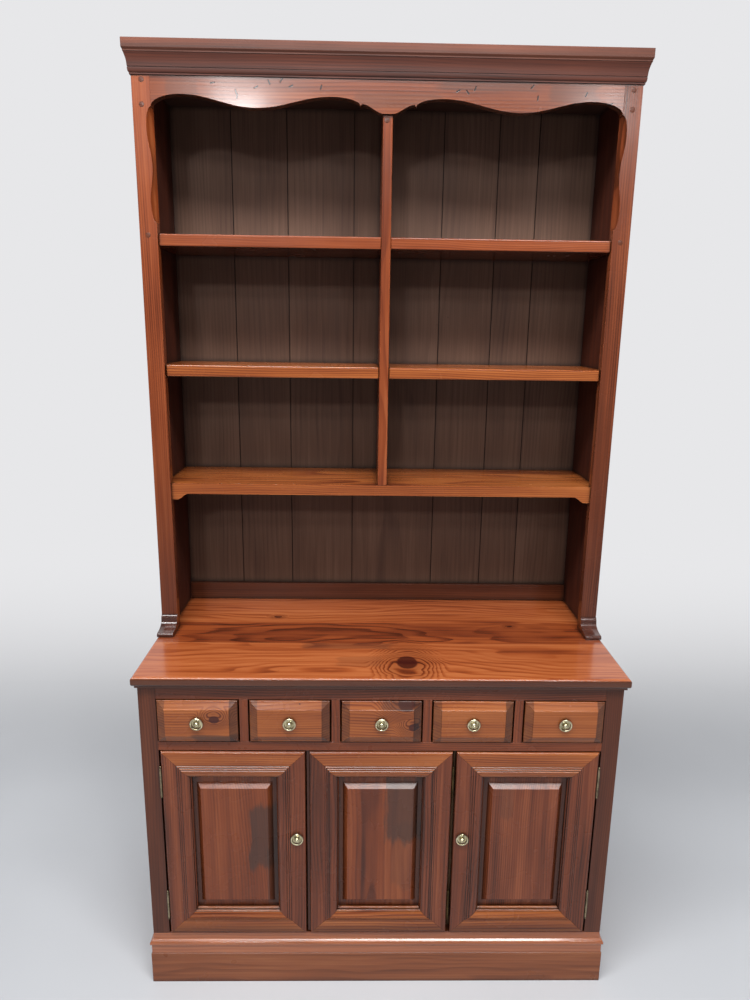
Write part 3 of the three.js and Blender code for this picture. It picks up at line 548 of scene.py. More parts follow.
def dress(node, axes, tone, seed, ease=EASE):
    """A CAD node that is shown as it is, with a finish and eased edges."""
    obj = frame["nodes"][node]
    obj.data.materials.clear()
    obj.data.materials.append(Wood(f"{node}_pine", axes, tone, seed).finish())
    merge = obj.modifiers.new("Merge", "WELD")
    merge.merge_threshold = JOINT_LINE / 5
    soften(obj, ease)


def loft(rings, closed=False):
    """Skin over rings of equal point counts, capped at both ends or joined up."""
    count = len(rings[0])
    points = [p for ring in rings for p in ring]
    faces = []
    bands = len(rings) if closed else len(rings) - 1
    for r in range(bands):
        after = (r + 1) % len(rings)
        for i in range(count):
            j = (i + 1) % count
            faces.append([r * count + i, r * count + j, after * count + j, after * count + i])
    if not closed:
        faces.append(list(range(count))[::-1])
        faces.append([(len(rings) - 1) * count + i for i in range(count)])
    return points, faces


def box(low, high):
    (x0, y0, z0), (x1, y1, z1) = low, high
    rings = [[(x0, y0, z), (x1, y0, z), (x1, y1, z), (x0, y1, z)] for z in (z0, z1)]
    return loft(rings)


def prism(outline, axis, start, end):
    """Outline in the two other axes, in their alphabetic order, pushed along an axis."""
    index = "xyz".index(axis)
    return loft([[(*p[:index], depth, *p[index:]) for p in outline] for depth in (start, end)])


def arc(centre, radii, start, end, steps=CURVE_STEPS):
    """Points of an ellipse between two angles in quarter turns."""
    points = []
    for i in range(steps + 1):
        angle = (start + (end - start) * i / steps) * math.pi / 2
        points.append((centre[0] + radii[0] * math.cos(angle), centre[1] + radii[1] * math.sin(angle)))
    return points


def lathe(profile, centre, axis, segments):
    """Profile of (radius, height) turned about an axis through centre. It starts and ends on the axis."""
    turn = Vector((0, 0, 1)).rotation_difference(Vector(axis)).to_matrix()
    points = []
    rows = []
    for radius, height in profile:
        count = segments if radius > AXIS_LIMIT else 1
        rows.append(list(range(len(points), len(points) + count)))
        for i in range(count):
            angle = 2 * math.pi * i / segments
            spot = Vector((radius * math.cos(angle), radius * math.sin(angle), height))
            points.append(Vector(centre) + turn @ spot)
    faces = []
    for a, b in zip(rows, rows[1:]):
        for i in range(segments):
            j = (i + 1) % segments
            if len(a) == 1:
                faces.append([a[0], b[j], b[i]])
            elif len(b) == 1:
                faces.append([a[i], a[j], b[0]])
            else:
                faces.append([a[i], a[j], b[j], b[i]])
    return points, faces


def mitred_members(low, high, profile):
    """Four members of a frame that lies across Y, each cut at 45 degrees. Profile is (inset, y)."""
    corner = {-1: low, 1: high}
    members = {}
    for name, way in (("left", -1), ("right", 1), ("bottom", -1), ("top", 1)):
        ends = []
        for end in (-1, 1):
            ring = []
            for inset, y in profile:
                run = end * (inset + JOINT_LINE)
                if name in UPRIGHTS:
                    ring.append((corner[way].x - way * inset, y, corner[end].z - run))
                else:
                    ring.append((corner[end].x - run, y, corner[way].z - way * inset))
            ends.append(ring)
        members[name] = loft(ends)
    return members


def upright_loft(low, high, levels):
    """Panel that lies across Y: each level is (inset at the sides, inset at the ends, y)."""
    rings = []
    for side, end, y in levels:
        x0, x1 = low.x + side, high.x - side
        z0, z1 = low.z + end, high.z - end
        rings.append([(x0, y, z0), (x1, y, z0), (x1, y, z1), (x0, y, z1)])
    return loft(rings)


def solid_nodes():
    """Boards that are shown as the CAD model has them: hidden wood, sides, shelves and divider."""
    dress("base_floor", "xyz", "bare", 3)
    dress("base_back", "xzy", "bare", 4)
    dress("drawer_deck", "xyz", "bare", 5)
    dress("hinge_post", "zxy", "bare", 6)
    for i in range(5):
        dress(f"drawer_{i + 1}_box", "yxz", "bare", 10 + i)
    for i, word in enumerate(("left", "right")):
        dress(f"base_side_{word}", "zyx", "shade", 64 + i, FINE_EASE)
        dress(f"hutch_side_{word}", "zyx", "cove", 190 + i)
        dress(f"upper_shelf_{word}", "xyz", "red", 192 + i, SHELF_EASE)
        dress(f"middle_shelf_{word}", "xyz", "orange", 194 + i, SHELF_EASE)
    dress("lower_shelf", "xyz", "orange", 197, SHELF_EASE)
    dress("hutch_divider", "zxy", "red", 198)
    dress("hutch_ceiling", "xyz", "back", 199)
    dress("hutch_back_rail", "xzy", "shade", 200)


def face_frame():
    """Stiles, rails and the posts between the drawers, each as two opposite corners."""
    low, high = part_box("base_face_frame")
    left, right = low.x + STILE, high.x - STILE
    front, back = low.y, low.y + FRAME_THICK
    middle_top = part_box("drawer_1_front")[0].z - DRAWER_GAP
    parts = {
        "stile_left": ((low.x, front, low.z), (left, back, high.z)),
        "stile_right": ((right, front, low.z), (high.x, back, high.z)),
        "top_rail": ((left, front, high.z - FRAME_TOP_RAIL), (right, back, high.z)),
        "middle_rail": ((left, front, middle_top - FRAME_MIDDLE_RAIL), (right, back, middle_top)),
        "bottom_rail": ((left, front, low.z), (right, back, low.z + FRAME_BOTTOM_RAIL)),
    }
    for i in range(4):
        centre = (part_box(f"drawer_{i + 1}_front")[1].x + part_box(f"drawer_{i + 2}_front")[0].x) / 2
        parts[f"post_{i + 1}"] = (
            (centre - POST / 2, front, middle_top), (centre + POST / 2, back, high.z - FRAME_TOP_RAIL))
    for i, (name, corners) in enumerate(parts.items()):
        axes = "xzy" if name.endswith("rail") else "zxy"
        tone = "shade" if name.startswith("stile") else "door" if name == "top_rail" else "panel"
        board(f"face_{name}", box(*corners), axes, tone, 20 + i, "" if i else "base_face_frame")


def ring_run(profile, half, front, back, height):
    """Three mitred runs of a moulding round a front and two ends. Profile is (out, z)."""
    runs = {"front": []}
    for end in (-1, 1):
        runs["front"].append([
            (end * (half + out - JOINT_LINE), front - out, height + z) for out, z in profile])
    for name, side in (("left", -1), ("right", 1)):
        runs[name] = []
        for y, mitred in ((back, 0), (front + JOINT_LINE, 1)):
            runs[name].append([(side * (half + out), y - mitred * out, height + z) for out, z in profile])
    return {name: loft(rings) for name, rings in runs.items()}


def moulding(name, profile, place, tone, seed, replaced="", fades=()):
    """The three runs of one moulding, each with its own finish. Place is (half, front, back, height)."""
    for i, (side, solid) in enumerate(ring_run(profile, *place).items()):
        axes = "xzy" if side == "front" else "yzx"
        board(f"{name}_{side}", solid, axes, tone, seed + i, "" if i else replaced, fades=fades)


# Mouldings: the plinth's board and cap, and the cornice, measured out from the carcass
PLINTH_OUT = 0.006
PLINTH_INNER = -0.018
PLINTH_STEP = 0.0755
PLINTH_STEP_TOP = 0.0765
BEAD_LOW = 0.098
BEAD_ROUND = 0.003
BEAD_FACE = 0.1032
SHOULDER_ROUND = 0.006
SHOULDER_TURN = 0.56
SHOULDER_OUT = 0.0015
SHOULDER_TOP = 0.1104
PLINTH_TOP = 0.126
PLINTH_TOP_DROP = 0.0005
PLINTH_RECESS = 0.0015
CORNICE_OUT = 0.013
CORNICE_FOOT = 0.0026
CORNICE_FOOT_TOP = 0.003
ROLL = (0.0026, 0.009)
QUIRK = 0.0008
COVE_LOW = 0.0135
COVE_HIGH = 0.038
COVE_OUTER = 0.0102
COVE_HOLLOW = 0.0012
FILLET = 0.0109
FILLET_TOP = 0.041
FASCIA_LOW = 0.045


def plinth():
    """Board with a moulded cap on it, in front and along both sides."""
    low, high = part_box("plinth")
    face = PLINTH_OUT - PLINTH_RECESS
    edge = PLINTH_OUT + PLINTH_RECESS
    place = (high.x - edge, low.y + edge, high.y, 0)
    lower = [
        (PLINTH_INNER, 0), (PLINTH_OUT, 0), (PLINTH_OUT, PLINTH_STEP),
        (face, PLINTH_STEP_TOP), (PLINTH_INNER, PLINTH_STEP_TOP),
    ]
    cap = [
        (PLINTH_INNER, PLINTH_STEP_TOP + JOINT_LINE), (face, PLINTH_STEP_TOP + JOINT_LINE),
        (face, BEAD_LOW),
        *arc((edge - BEAD_ROUND, BEAD_LOW + BEAD_ROUND), (BEAD_ROUND, BEAD_ROUND), -1, 0, 6),
        *arc((edge - SHOULDER_ROUND, BEAD_FACE), (SHOULDER_ROUND, SHOULDER_ROUND), 0, SHOULDER_TURN, 8),
        *arc((SHOULDER_OUT, PLINTH_TOP), (SHOULDER_OUT, PLINTH_TOP - SHOULDER_TOP), -1, -2, 8),
        (PLINTH_INNER, PLINTH_TOP - PLINTH_TOP_DROP),
    ]
    moulding("plinth_board", lower, place, "base", 40, "plinth")
    # Painted light: the cap takes a lighter tone than the board below it, for the lamp light on its upturned
    # face
    moulding("plinth_cap", cap, place, "cap", 44)


def hollow(start, end, depth, steps):
    """Points between two points of a section, with a shallow hollow between them."""
    points = []
    for i in range(steps + 1):
        part = i / steps
        sunk = depth * math.sin(math.pi * part)
        points.append((start[0] + (end[0] - start[0]) * part - sunk, start[1] + (end[1] - start[1]) * part))
    return points


def cornice():
    low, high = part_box("hutch_cornice")
    place = (high.x - CORNICE_OUT, low.y + CORNICE_OUT, high.y, low.z)
    height = high.z - low.z
    roll_out, roll_height = ROLL
    roll_top = CORNICE_FOOT_TOP + roll_height
    outer = CORNICE_FOOT + roll_out
    cove = [
        (0, 0), (CORNICE_FOOT, 0), (CORNICE_FOOT, CORNICE_FOOT_TOP),
        *arc((CORNICE_FOOT, roll_top), ROLL, -1, 0)[1:],
        (outer - QUIRK, roll_top), (outer - QUIRK, COVE_LOW),
        *hollow((outer, COVE_LOW), (COVE_OUTER, COVE_HIGH), COVE_HOLLOW, 8),
        (0, COVE_HIGH),
    ]
    fascia = [
        (0, COVE_HIGH + JOINT_LINE), (FILLET, COVE_HIGH + JOINT_LINE),
        (FILLET, FILLET_TOP), (CORNICE_OUT, FASCIA_LOW),
        (CORNICE_OUT, height), (0, height),
    ]
    # Painted shade: the cove takes the darkest tone, for the shadow that the fascia casts on it
    moulding("cornice_cove", cove, place, "cove", 50, "hutch_cornice")
    dark_foot = ("across", high.z, low.z + FASCIA_LOW, 0.55)
    moulding("cornice_fascia", fascia, place, "fascia", 54, fades=(dark_foot,))


# Worktop: knots, joints between its boards, stains and the breadth of its rings
WORKTOP_KNOTS = ((0.054, -0.155, 0.033, 0.75), (-0.248, 0.089, 0.005, 1.6), (0.31, 0.04, 0.004, 1.6))
WORKTOP_JOINTS = (-0.06, 0.055, 0.15)
WORKTOP_STAINS = ((-0.075, -0.075, 0.20, 0.030, 0.38), (-0.05, -0.150, 0.10, 0.05, 0.20))
WORKTOP_RING = 0.0035
# Section of the worktop's edge: round nose, and a step under it. The edge is painted darker below its top
NOSE_ROUND = 0.006
NOSE_DEPTH = 0.014
STEP_DEPTH = 0.020
STEP_INSET = 0.0055
NOSE_DARK_FROM = 0.001
NOSE_DARK_TO = 0.0045


def worktop():
    low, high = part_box("worktop")
    profile = [
        (STEP_INSET, high.z - low.z), (STEP_INSET, STEP_DEPTH),
        *arc((STEP_INSET, NOSE_DEPTH), (STEP_INSET, STEP_DEPTH - NOSE_DEPTH), 1, 2, 6)[1:],
        *arc((NOSE_ROUND, NOSE_ROUND), (NOSE_ROUND, NOSE_ROUND), 2, 3, 8),
    ]
    rings = []
    for inset, drop in profile:
        x0, x1, y0, z = low.x + inset, high.x - inset, low.y + inset, high.z - drop
        rings.append([(x0, y0, z), (x1, y0, z), (x1, high.y, z), (x0, high.y, z)])
    dark_edge = ("through", high.z - NOSE_DARK_FROM, high.z - NOSE_DARK_TO, 0.80)
    material = Wood("worktop_boards", "xyz", "top", 61).finish(
        WORKTOP_RING, WORKTOP_KNOTS, WORKTOP_STAINS, [dark_edge], edges=WORKTOP_JOINTS)
    piece("worktop_board", [loft(rings)], "carcass", material, FINE_EASE, "worktop")


# Dark patches on the panels: height, place across, length, width, depth of colour
DOOR_STAINS = {
    "door_left": ((0.375, -0.250, 0.15, 0.060, 0.75), (0.27, -0.232, 0.16, 0.022, 0.55)),
    "door_middle": ((0.44, 0.050, 0.15, 0.078, 0.75), (0.33, 0.055, 0.16, 0.06, 0.25)),
    "door_right": ((0.47, 0.27, 0.10, 0.03, 0.3),),
}
# Where a panel is glued up from two boards
DOOR_JOINTS = {"door_left": (), "door_middle": (0.012,), "door_right": (0.335,)}


def reed_slope(start, end, count):
    """Small round reeds side by side on a straight slope, swelling out to the left of its run."""
    run = Vector((end[0] - start[0], end[1] - start[1]))
    out = Vector((run.y, -run.x)).normalized() * REED_CROWN
    points = []
    for i in range(1, count * REED_STEPS + 1):
        part = i / (count * REED_STEPS)
        swell = abs(math.sin(math.pi * count * part))
        points.append((start[0] + run.x * part + out.x * swell, start[1] + run.y * part + out.y * swell))
    return points


DOOR_CREST = DOOR_FLAT + OUTER_REED_RUN
DOOR_INNER = DOOR_CREST + CREST_WIDTH + INNER_REED_RUN
REED_GROOVES = (
    *(DOOR_FLAT + OUTER_REED_RUN * i / OUTER_REEDS for i in range(OUTER_REEDS)),
    *(DOOR_CREST + CREST_WIDTH + INNER_REED_RUN * i / INNER_REEDS for i in range(INNER_REEDS)),
)


def door_profile(front):
    """Section of a door frame's members as (inset, y), from the back of the outer edge round."""
    crest = (DOOR_CREST, front - CREST_RISE)
    turn = 2 * math.atan2(CREST_RISE, CREST_WIDTH)
    radius = CREST_WIDTH / math.sin(turn)
    groove = front + GROOVE_FRONT
    return [
        (0, front + DOOR_THICK),
        *arc((DOOR_ROUND, front + DOOR_ROUND), (DOOR_ROUND, DOOR_ROUND), 2, 3, 8),
        (DOOR_FLAT, front),
        *reed_slope((DOOR_FLAT, front), crest, OUTER_REEDS),
        *arc((crest[0], crest[1] + radius), (radius, radius), 3, 3 + turn / (math.pi / 2))[1:],
        *reed_slope((DOOR_CREST + CREST_WIDTH, front), (DOOR_INNER, groove), INNER_REEDS),
        (DOOR_INNER - GROOVE_DEPTH, groove), (DOOR_INNER - GROOVE_DEPTH, groove + GROOVE_WIDTH),
        (DOOR_INNER, groove + GROOVE_WIDTH), (DOOR_INNER, front + DOOR_THICK),
    ]


def door(name, seed):
    tongue = DOOR_INNER - GROOVE_DEPTH + PANEL_FIT
    panel_low, panel_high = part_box(f"{name}_panel")
    low = panel_low - Vector((tongue, 0, tongue))
    high = panel_high + Vector((tongue, 0, tongue))
    margin = panel_low.y + PANEL_RISE
    front = margin - REST_GAP - GROOVE_FRONT
    for i, (side, solid) in enumerate(mitred_members(low, high, door_profile(front)).items()):
        axes, tone = ("zxy", "door") if side in UPRIGHTS else ("xzy", "orange")
        # The bottom member is painted darker towards its lower edge
        wear_and_dark_edge = [("across", low.z + DOOR_FLAT, low.z + DOOR_ROUND, 0.5)] if side == "bottom" else []
        outer = {"left": low.x, "right": high.x, "bottom": low.z, "top": high.z}[side]
        way = 1 if side in ("left", "bottom") else -1
        # Painted shade: dark lines in the grooves between the reeds
        grooves = [outer + way * inset for inset in REED_GROOVES]
        board(
            f"{name}_{side}", solid, axes, tone, seed + i, "" if i else f"{name}_frame", DOOR_EASE, name,
            fades=wear_and_dark_edge, grooves=grooves)
    side_start = DOOR_INNER + PANEL_SIDE_MARGIN
    end_start = DOOR_INNER + PANEL_END_MARGIN
    levels = [
        (tongue, tongue, margin + PANEL_TONGUE), (tongue, tongue, margin), (side_start, end_start, margin),
        (side_start + PANEL_BEVEL, end_start + PANEL_BEVEL, panel_low.y),
    ]
    # Painted shade on the panel's side bevels and the margins beside them, which lie in the frame's shadow
    fades = [
        ("across", low.x + side_start + PANEL_BEVEL, low.x + side_start, 0.6),
        ("across", high.x - side_start - PANEL_BEVEL, high.x - side_start, 0.6),
    ]
    tone = "door" if name == "door_right" else "panel"
    board(
        f"{name}_raised_panel", upright_loft(low, high, levels), "zxy", tone, seed + 5, f"{name}_panel",
        body=name, stains=DOOR_STAINS[name], fades=fades, edges=DOOR_JOINTS[name])
    hinge = next(j for j in frame["joints"] if j["name"] == f"{name}_swing")
    side = 1 if hinge["pos_m"][0] > (low.x + high.x) / 2 else -1
    # The middle door's hinges take the darkened brass, painted shade for the shadow of the gap beside them
    metal = SHADED_BRASS if name == "door_middle" else HINGE_BRASS
    hinge_set(name, hinge, side, high.x if side > 0 else low.x, front, metal)
    if name != "door_middle":
        pull(name)
        return
    start = (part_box(f"{name}_frame")[0].x, front + GAP_STRIP_RECESS, low.z)
    strip = box(start, (low.x + GAP_STRIP_LAP, front + DOOR_THICK, high.z))
    board("door_middle_gap_strip", strip, "zxy", "shade", seed + 6, body=name)


def ball(radius, middle, start, end, steps=8):
    """Lathe points of a ball between two angles, in quarter turns from its equator."""
    points = arc((0, middle), (radius, radius), start, end, steps)
    return [(max(r, 0), h) for r, h in points]


def hinge_set(name, joint, side, door_edge, front, metal):
    """Knuckles, pin tips and the edges of the leaves of a door's two hinges."""
    x, y, _ = joint["pos_m"]
    gap_edge = x + side * abs(door_edge - x)
    plate_x = sorted((gap_edge, gap_edge - side * LEAF_THICK))
    leaf_x = sorted((door_edge, door_edge + side * LEAF_THICK))
    knuckle = [
        (0, KNUCKLE_HALF + KNUCKLE_GAP), (BARREL_RADIUS, KNUCKLE_HALF + KNUCKLE_GAP),
        (BARREL_RADIUS, BARREL_HALF), (BARREL_RADIUS / 2, BARREL_HALF + TIP_NECK / 2),
        *ball(TIP_RADIUS, BARREL_HALF + TIP_NECK + TIP_RADIUS, -0.5, 1),
    ]
    middle = [
        (0, -KNUCKLE_HALF), (BARREL_RADIUS, -KNUCKLE_HALF), (BARREL_RADIUS, KNUCKLE_HALF), (0, KNUCKLE_HALF),
    ]
    for number in (1, 2):
        node = f"{name}_hinge_{number}"
        low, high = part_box(node)
        z = (low.z + high.z) / 2
        fixed = [lathe(knuckle, (x, y, z), (0, 0, way), KNUCKLE_SIDES) for way in (-1, 1)]
        fixed.append(box(
            (plate_x[0], y + BARREL_RADIUS, z - BARREL_HALF), (plate_x[1], high.y, z + BARREL_HALF)))
        moving = [lathe(middle, (x, y, z), (0, 0, 1), KNUCKLE_SIDES), box(
            (leaf_x[0], front + DOOR_ROUND, z - BARREL_HALF),
            (leaf_x[1], y + LEAF_DEPTH, z + BARREL_HALF))]
        piece(f"{node}_fixed", fixed, "carcass", metal, 0, node)
        piece(f"{node}_moving", moving, name, metal, 0)


def pull(name):
    """Round plate with a beaded rim, a ball in its middle, an eye at the top and a ring."""
    low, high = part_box(f"{name}_pull")
    x = (low.x + high.x) / 2
    ring_low, ring_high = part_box(f"{name}_ring")
    z = (ring_low.z + ring_high.z) / 2
    wall = high.y
    plate = [
        (0, 0), (PLATE_RADIUS, 0), (PLATE_RADIUS, RIM_LEVEL),
        *arc((PLATE_RADIUS - RIM_HALF, RIM_LEVEL), (RIM_HALF, RIM_HEIGHT), 0, 2, 6)[1:],
        (PLATE_RADIUS - RIM_HOLLOW, RIM_LEVEL), (PLATE_RADIUS - PLATE_SLOPE, PLATE_THICK),
        (NECK_RADIUS, PLATE_THICK),
        *ball(BALL_RADIUS, BALL_REACH - BALL_RADIUS, -0.35, 1, 10)[:-1], (0, BALL_REACH),
    ]
    eye_y = wall - RING_STAND_OFF
    eye_z = z + RING_RADIUS
    half = EYE_WIDTH / 2
    eye = [
        (EYE_BORE, -half), (EYE_RADIUS, -half), (EYE_RADIUS + EYE_CROWN, 0), (EYE_RADIUS, half),
        (EYE_BORE, half), (EYE_BORE, -half),
    ]
    across, up = EYE_NECK
    neck = box((x - across, eye_y + EYE_BORE, eye_z - up), (x + across, wall, eye_z + up))
    solids = [
        lathe(plate, (x, wall, z), (0, -1, 0), PLATE_SIDES),
        lathe(eye, (x, eye_y, eye_z), (1, 0, 0), EYE_SIDES), neck,
    ]
    piece(f"{name}_pull_plate", solids, name, PULL_BRASS, 0, f"{name}_pull")
    rings = []
    for i in range(RING_TURNS):
        angle = 2 * math.pi * i / RING_TURNS
        wire = RING_WIRE + RING_SWELL * (1 - math.sin(angle))
        section = arc((0, 0), (wire, wire), 0, 4, WIRE_SIDES)[:-1]
        rings.append([
            (x + (RING_RADIUS + a) * math.cos(angle), eye_y + b, z + (RING_RADIUS + a) * math.sin(angle))
            for a, b in section])
    ring = loft(rings, closed=True)
    piece(f"{name}_pull_ring", [ring], f"{name}_ring", PULL_BRASS, 0, f"{name}_ring")


# Knots of the drawer fronts by drawer: place along, height, radius, stretch
DRAWER_KNOTS = {
    1: ((-0.344, 0.658, 0.009, 1.3),),
    3: ((0.051, 0.692, 0.015, 1.3), (0.067, 0.642, 0.010, 1.2)),
}
DRAWER_STAINS = {1: ((-0.345, 0.613, 0.09, 0.02, 0.6),), 3: ((0.03, 0.69, 0.06, 0.02, 0.4),)}


def drawers():
    for i in range(5):
        name = f"drawer_{i + 1}"
        low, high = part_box(f"{name}_front")
        edge = low.y + DRAWER_RISE + DRAWER_STEP
        profile = [
            (0, high.y),
            *arc((DRAWER_EDGE, edge + DRAWER_EDGE), (DRAWER_EDGE, DRAWER_EDGE), 2, 3, 6),
            (DRAWER_BEVEL, low.y + DRAWER_STEP), (DRAWER_BEVEL, low.y + DRAWER_FIELD_EDGE),
            (DRAWER_BEVEL + DRAWER_FIELD_EDGE, low.y),
        ]
        levels = [(inset, inset, y) for inset, y in profile]
        # The end bevels are darker: partly stain that the end grain takes up, partly painted shade, deeper
        # at the right end, which faces away from the main lamp
        fades = [
            ("along", low.x + DRAWER_DARK_END, low.x + DRAWER_BEVEL, 0.45),
            ("along", high.x - DRAWER_DARK_END, high.x - DRAWER_BEVEL, 0.62),
        ]
        board(
            f"{name}_raised_front", upright_loft(low, high, levels), "xzy", "orange", 130 + i,
            f"{name}_front", FINE_EASE / 2, name, ring=0.006, knots=DRAWER_KNOTS.get(i + 1, ()),
            stains=DRAWER_STAINS.get(i + 1, ()), fades=fades, marks=0.8)
        pull(name)


def back_boards():
    low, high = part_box("hutch_back_boards")
    left = low.x
    total = sum(BOARD_SHARES)
    tongue = low.y + BACK_GROOVE_DEPTH
    for i, share in enumerate(BOARD_SHARES):
        right = left + (high.x - low.x) * share / total
        groove_left = BACK_GROOVE if i else 0
        groove_right = BACK_GROOVE if i < len(BOARD_SHARES) - 1 else 0
        outline = [
            (left + groove_left, low.y), (right - groove_right, low.y),
            (right - groove_right, tongue), (right, tongue), (right, high.y), (left, high.y),
            (left, tongue), (left + groove_left, tongue),
        ]
        material = Wood(f"back_board_{i + 1}_pine", "zxy", "back", 150 + i).finish(ring=0.008)
        solid = prism(outline, "z", low.z, high.z)
        replaced = "" if i else "hutch_back_boards"
        piece(f"back_board_{i + 1}", [solid], "carcass", material, 0, replaced)
        left = right


# Lower edge of the apron from its middle to an end: share of the half span, drop below the cornice,
# kind of curve that leads there and its steps
APRON_THICK = 0.020
APRON_FLAT_HALF = 0.008
APRON_MIDDLE_DROP = 0.062
APRON_EDGE = (
    (0.112, 0.045, "level", 10), (0.118, 0.049, "level", 1), (0.238, 0.033, "steep", 12),
    (0.562, 0.056, "level", 24), (0.872, 0.033, "level", 24), (1.0, 0.056, "late", 12),
)
# Dents in the apron: place along, height, lean. All have the same length and width
APRON_NICK = (0.009, 0.0026)
APRON_NICKS = (
    (-0.349, 1.911, 0.2), (-0.303, 1.896, 1.8), (-0.301, 1.888, 1.4), (-0.263, 1.905, 0.5),
    (-0.237, 1.914, 2.0), (-0.213, 1.918, 1.0), (-0.194, 1.908, 0.4), (-0.134, 1.907, 1.3),
    (0.139, 1.905, 0.5), (0.158, 1.903, 2.2), (0.173, 1.910, 1.2), (0.287, 1.915, 0.8),
    (0.299, 1.895, 1.5), (0.371, 1.885, 0.3), (0.396, 1.903, 1.1), (0.446, 1.886, 0.4),
)
APRON_STAINS = (
    (0.02, 1.885, 0.16, 0.03, 0.35), (0.20, 1.915, 0.22, 0.02, 0.45), (0.37, 1.905, 0.10, 0.03, 0.4),
    (-0.41, 1.90, 0.06, 0.03, 0.3),
)


def curve(start, stations):
    """Points through (x, y, kind, steps). A kind is level at both ends, or steep at the start or the end."""
    points = [start]
    for x, y, kind, steps in stations:
        x0, y0 = points[-1]
        for i in range(1, steps + 1):
            part = i / steps
            slow, fast = 1 - math.cos(math.pi / 2 * part), math.sin(math.pi / 2 * part)
            level = (part, (1 - math.cos(math.pi * part)) / 2)
            across, up = {"level": level, "steep": (slow, fast), "late": (fast, slow)}[kind]
            points.append((x0 + (x - x0) * across, y0 + (y - y0) * up))
    return points


def apron():
    low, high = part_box("hutch_apron")
    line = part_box("hutch_cornice")[0].z
    half = high.x
    stations = [(half * share, line - drop, kind, steps) for share, drop, kind, steps in APRON_EDGE]
    edge = curve((APRON_FLAT_HALF, line - APRON_MIDDLE_DROP), stations)
    outline = [*((-x, z) for x, z in reversed(edge)), *edge, (half, high.z), (-half, high.z)]
    nicks = [(x, z, *APRON_NICK, lean) for x, z, lean in APRON_NICKS]
    board(
        "apron_board", prism(outline, "y", low.y, low.y + APRON_THICK), "xzy", "apron", 171,
        "hutch_apron", EASE, ring=0.007, stains=APRON_STAINS, nicks=nicks, marks=0.6)


# Carved inner edge of the stiles: drops below the cornice, the widths left there, and the curves between
STILE_WIDTH = 0.0365
STILE_THICK = 0.020
CARVE_TOP = 0.056
CARVE = (
    (0.095, 0.025, "steep", 10), (0.168, 0.0335, "level", 18), (0.235, 0.0265, "level", 18),
    (0.275, STILE_WIDTH, "late", 10),
)
STILE_FADE = (1.35, 0.85, 0.38)
FOOT_HEIGHT = 0.036
FOOT_TOE = 0.009
FOOT_BEAD = 0.0055
FOOT_ROLL = (0.007, 0.012)


def stile(side, word):
    """Front stile with its carved inner edge, down to the scroll foot."""
    low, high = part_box(f"hutch_stile_{word}")
    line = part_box("hutch_cornice")[0].z
    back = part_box(f"hutch_side_{word}")[0].y
    front = back - STILE_THICK
    outer = low.x if side < 0 else high.x
    inner_edge = outer - side * STILE_WIDTH
    carved = [(line - drop, width) for drop, width in curve((CARVE_TOP, STILE_WIDTH), CARVE)]
    stations = [(high.z, STILE_WIDTH), *carved, (low.z, STILE_WIDTH)]
    rings = [[
        (outer, front, z), (outer - side * width, front, z), (inner_edge, back, z), (outer, back, z),
    ] for z, width in stations]
    tone = "red" if side < 0 else "door"
    board(
        f"stile_{word}_board", loft(rings), "zxy", tone, 180 + side, f"hutch_stile_{word}", EASE,
        fades=[("along", *STILE_FADE)])
    foot(side, word, low, front, *sorted((outer, inner_edge)))


def foot(side, word, low, front, start, end):
    """Scroll in front of a stile's lower end: a roll at the top, a hollow and a round toe."""
    toe = low.y + FOOT_BEAD
    roll_out, roll_height = FOOT_ROLL
    roll_low = low.z + FOOT_HEIGHT - roll_height
    toe_top = low.z + FOOT_TOE
    outline = [
        (front, low.z), (front, low.z + FOOT_HEIGHT),
        *arc((front, roll_low), FOOT_ROLL, 1, 2)[1:],
        *arc((toe, roll_low), (front - roll_out - toe, roll_low - toe_top), 0, -1)[1:],
        *arc((toe, toe_top - FOOT_BEAD), (FOOT_BEAD, FOOT_BEAD), 1, 2, 6)[1:],
        (toe - FOOT_BEAD, low.z),
    ]
    board(f"foot_{word}", prism(outline, "x", start, end), "yxz", "foot", 184 + side)


# Pegs in the joints: x, z of each one. The last one sits on the divider, the others on the stiles
PEG_PLACES = (
    (-0.489, 1.915), (-0.491, 1.870), (-0.492, 1.624), (0.491, 1.913), (0.491, 1.877), (0.490, 1.624),
    (-0.002, 1.851),
)


def pegs():
    stile_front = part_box("hutch_side_left")[0].y - STILE_THICK
    faces = [stile_front] * (len(PEG_PLACES) - 1) + [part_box("hutch_divider")[0].y]
    for i, ((x, z), face) in enumerate(zip(PEG_PLACES, faces)):
        dome = [(PEG_RADIUS * out, PEG_PROUD * rise) for out, rise in PEG_DOME]
        profile = [(0, -PEG_RADIUS), (PEG_RADIUS, -PEG_RADIUS), *dome]
        solid = lathe(profile, (x, face, z), (0, -1, 0), PEG_SIDES)
        board(f"peg_{i + 1}", solid, "yxz", "shade", 210 + i, ease=0)


def sheet(name, line, half, material):
    """Curved sheet of the stage: points of (y, z) drawn out to both sides."""
    points = [(x, y, z) for x in (-half, half) for y, z in line]
    count = len(line)
    faces = [[i, i + 1, i + 1 + count, i + count] for i in range(count - 1)]
    mesh = bpy.data.meshes.new(name)
    mesh.from_pydata(points, [], faces)
    mesh.shade_smooth()
    mesh.materials.append(material)
    add_object(name, mesh)


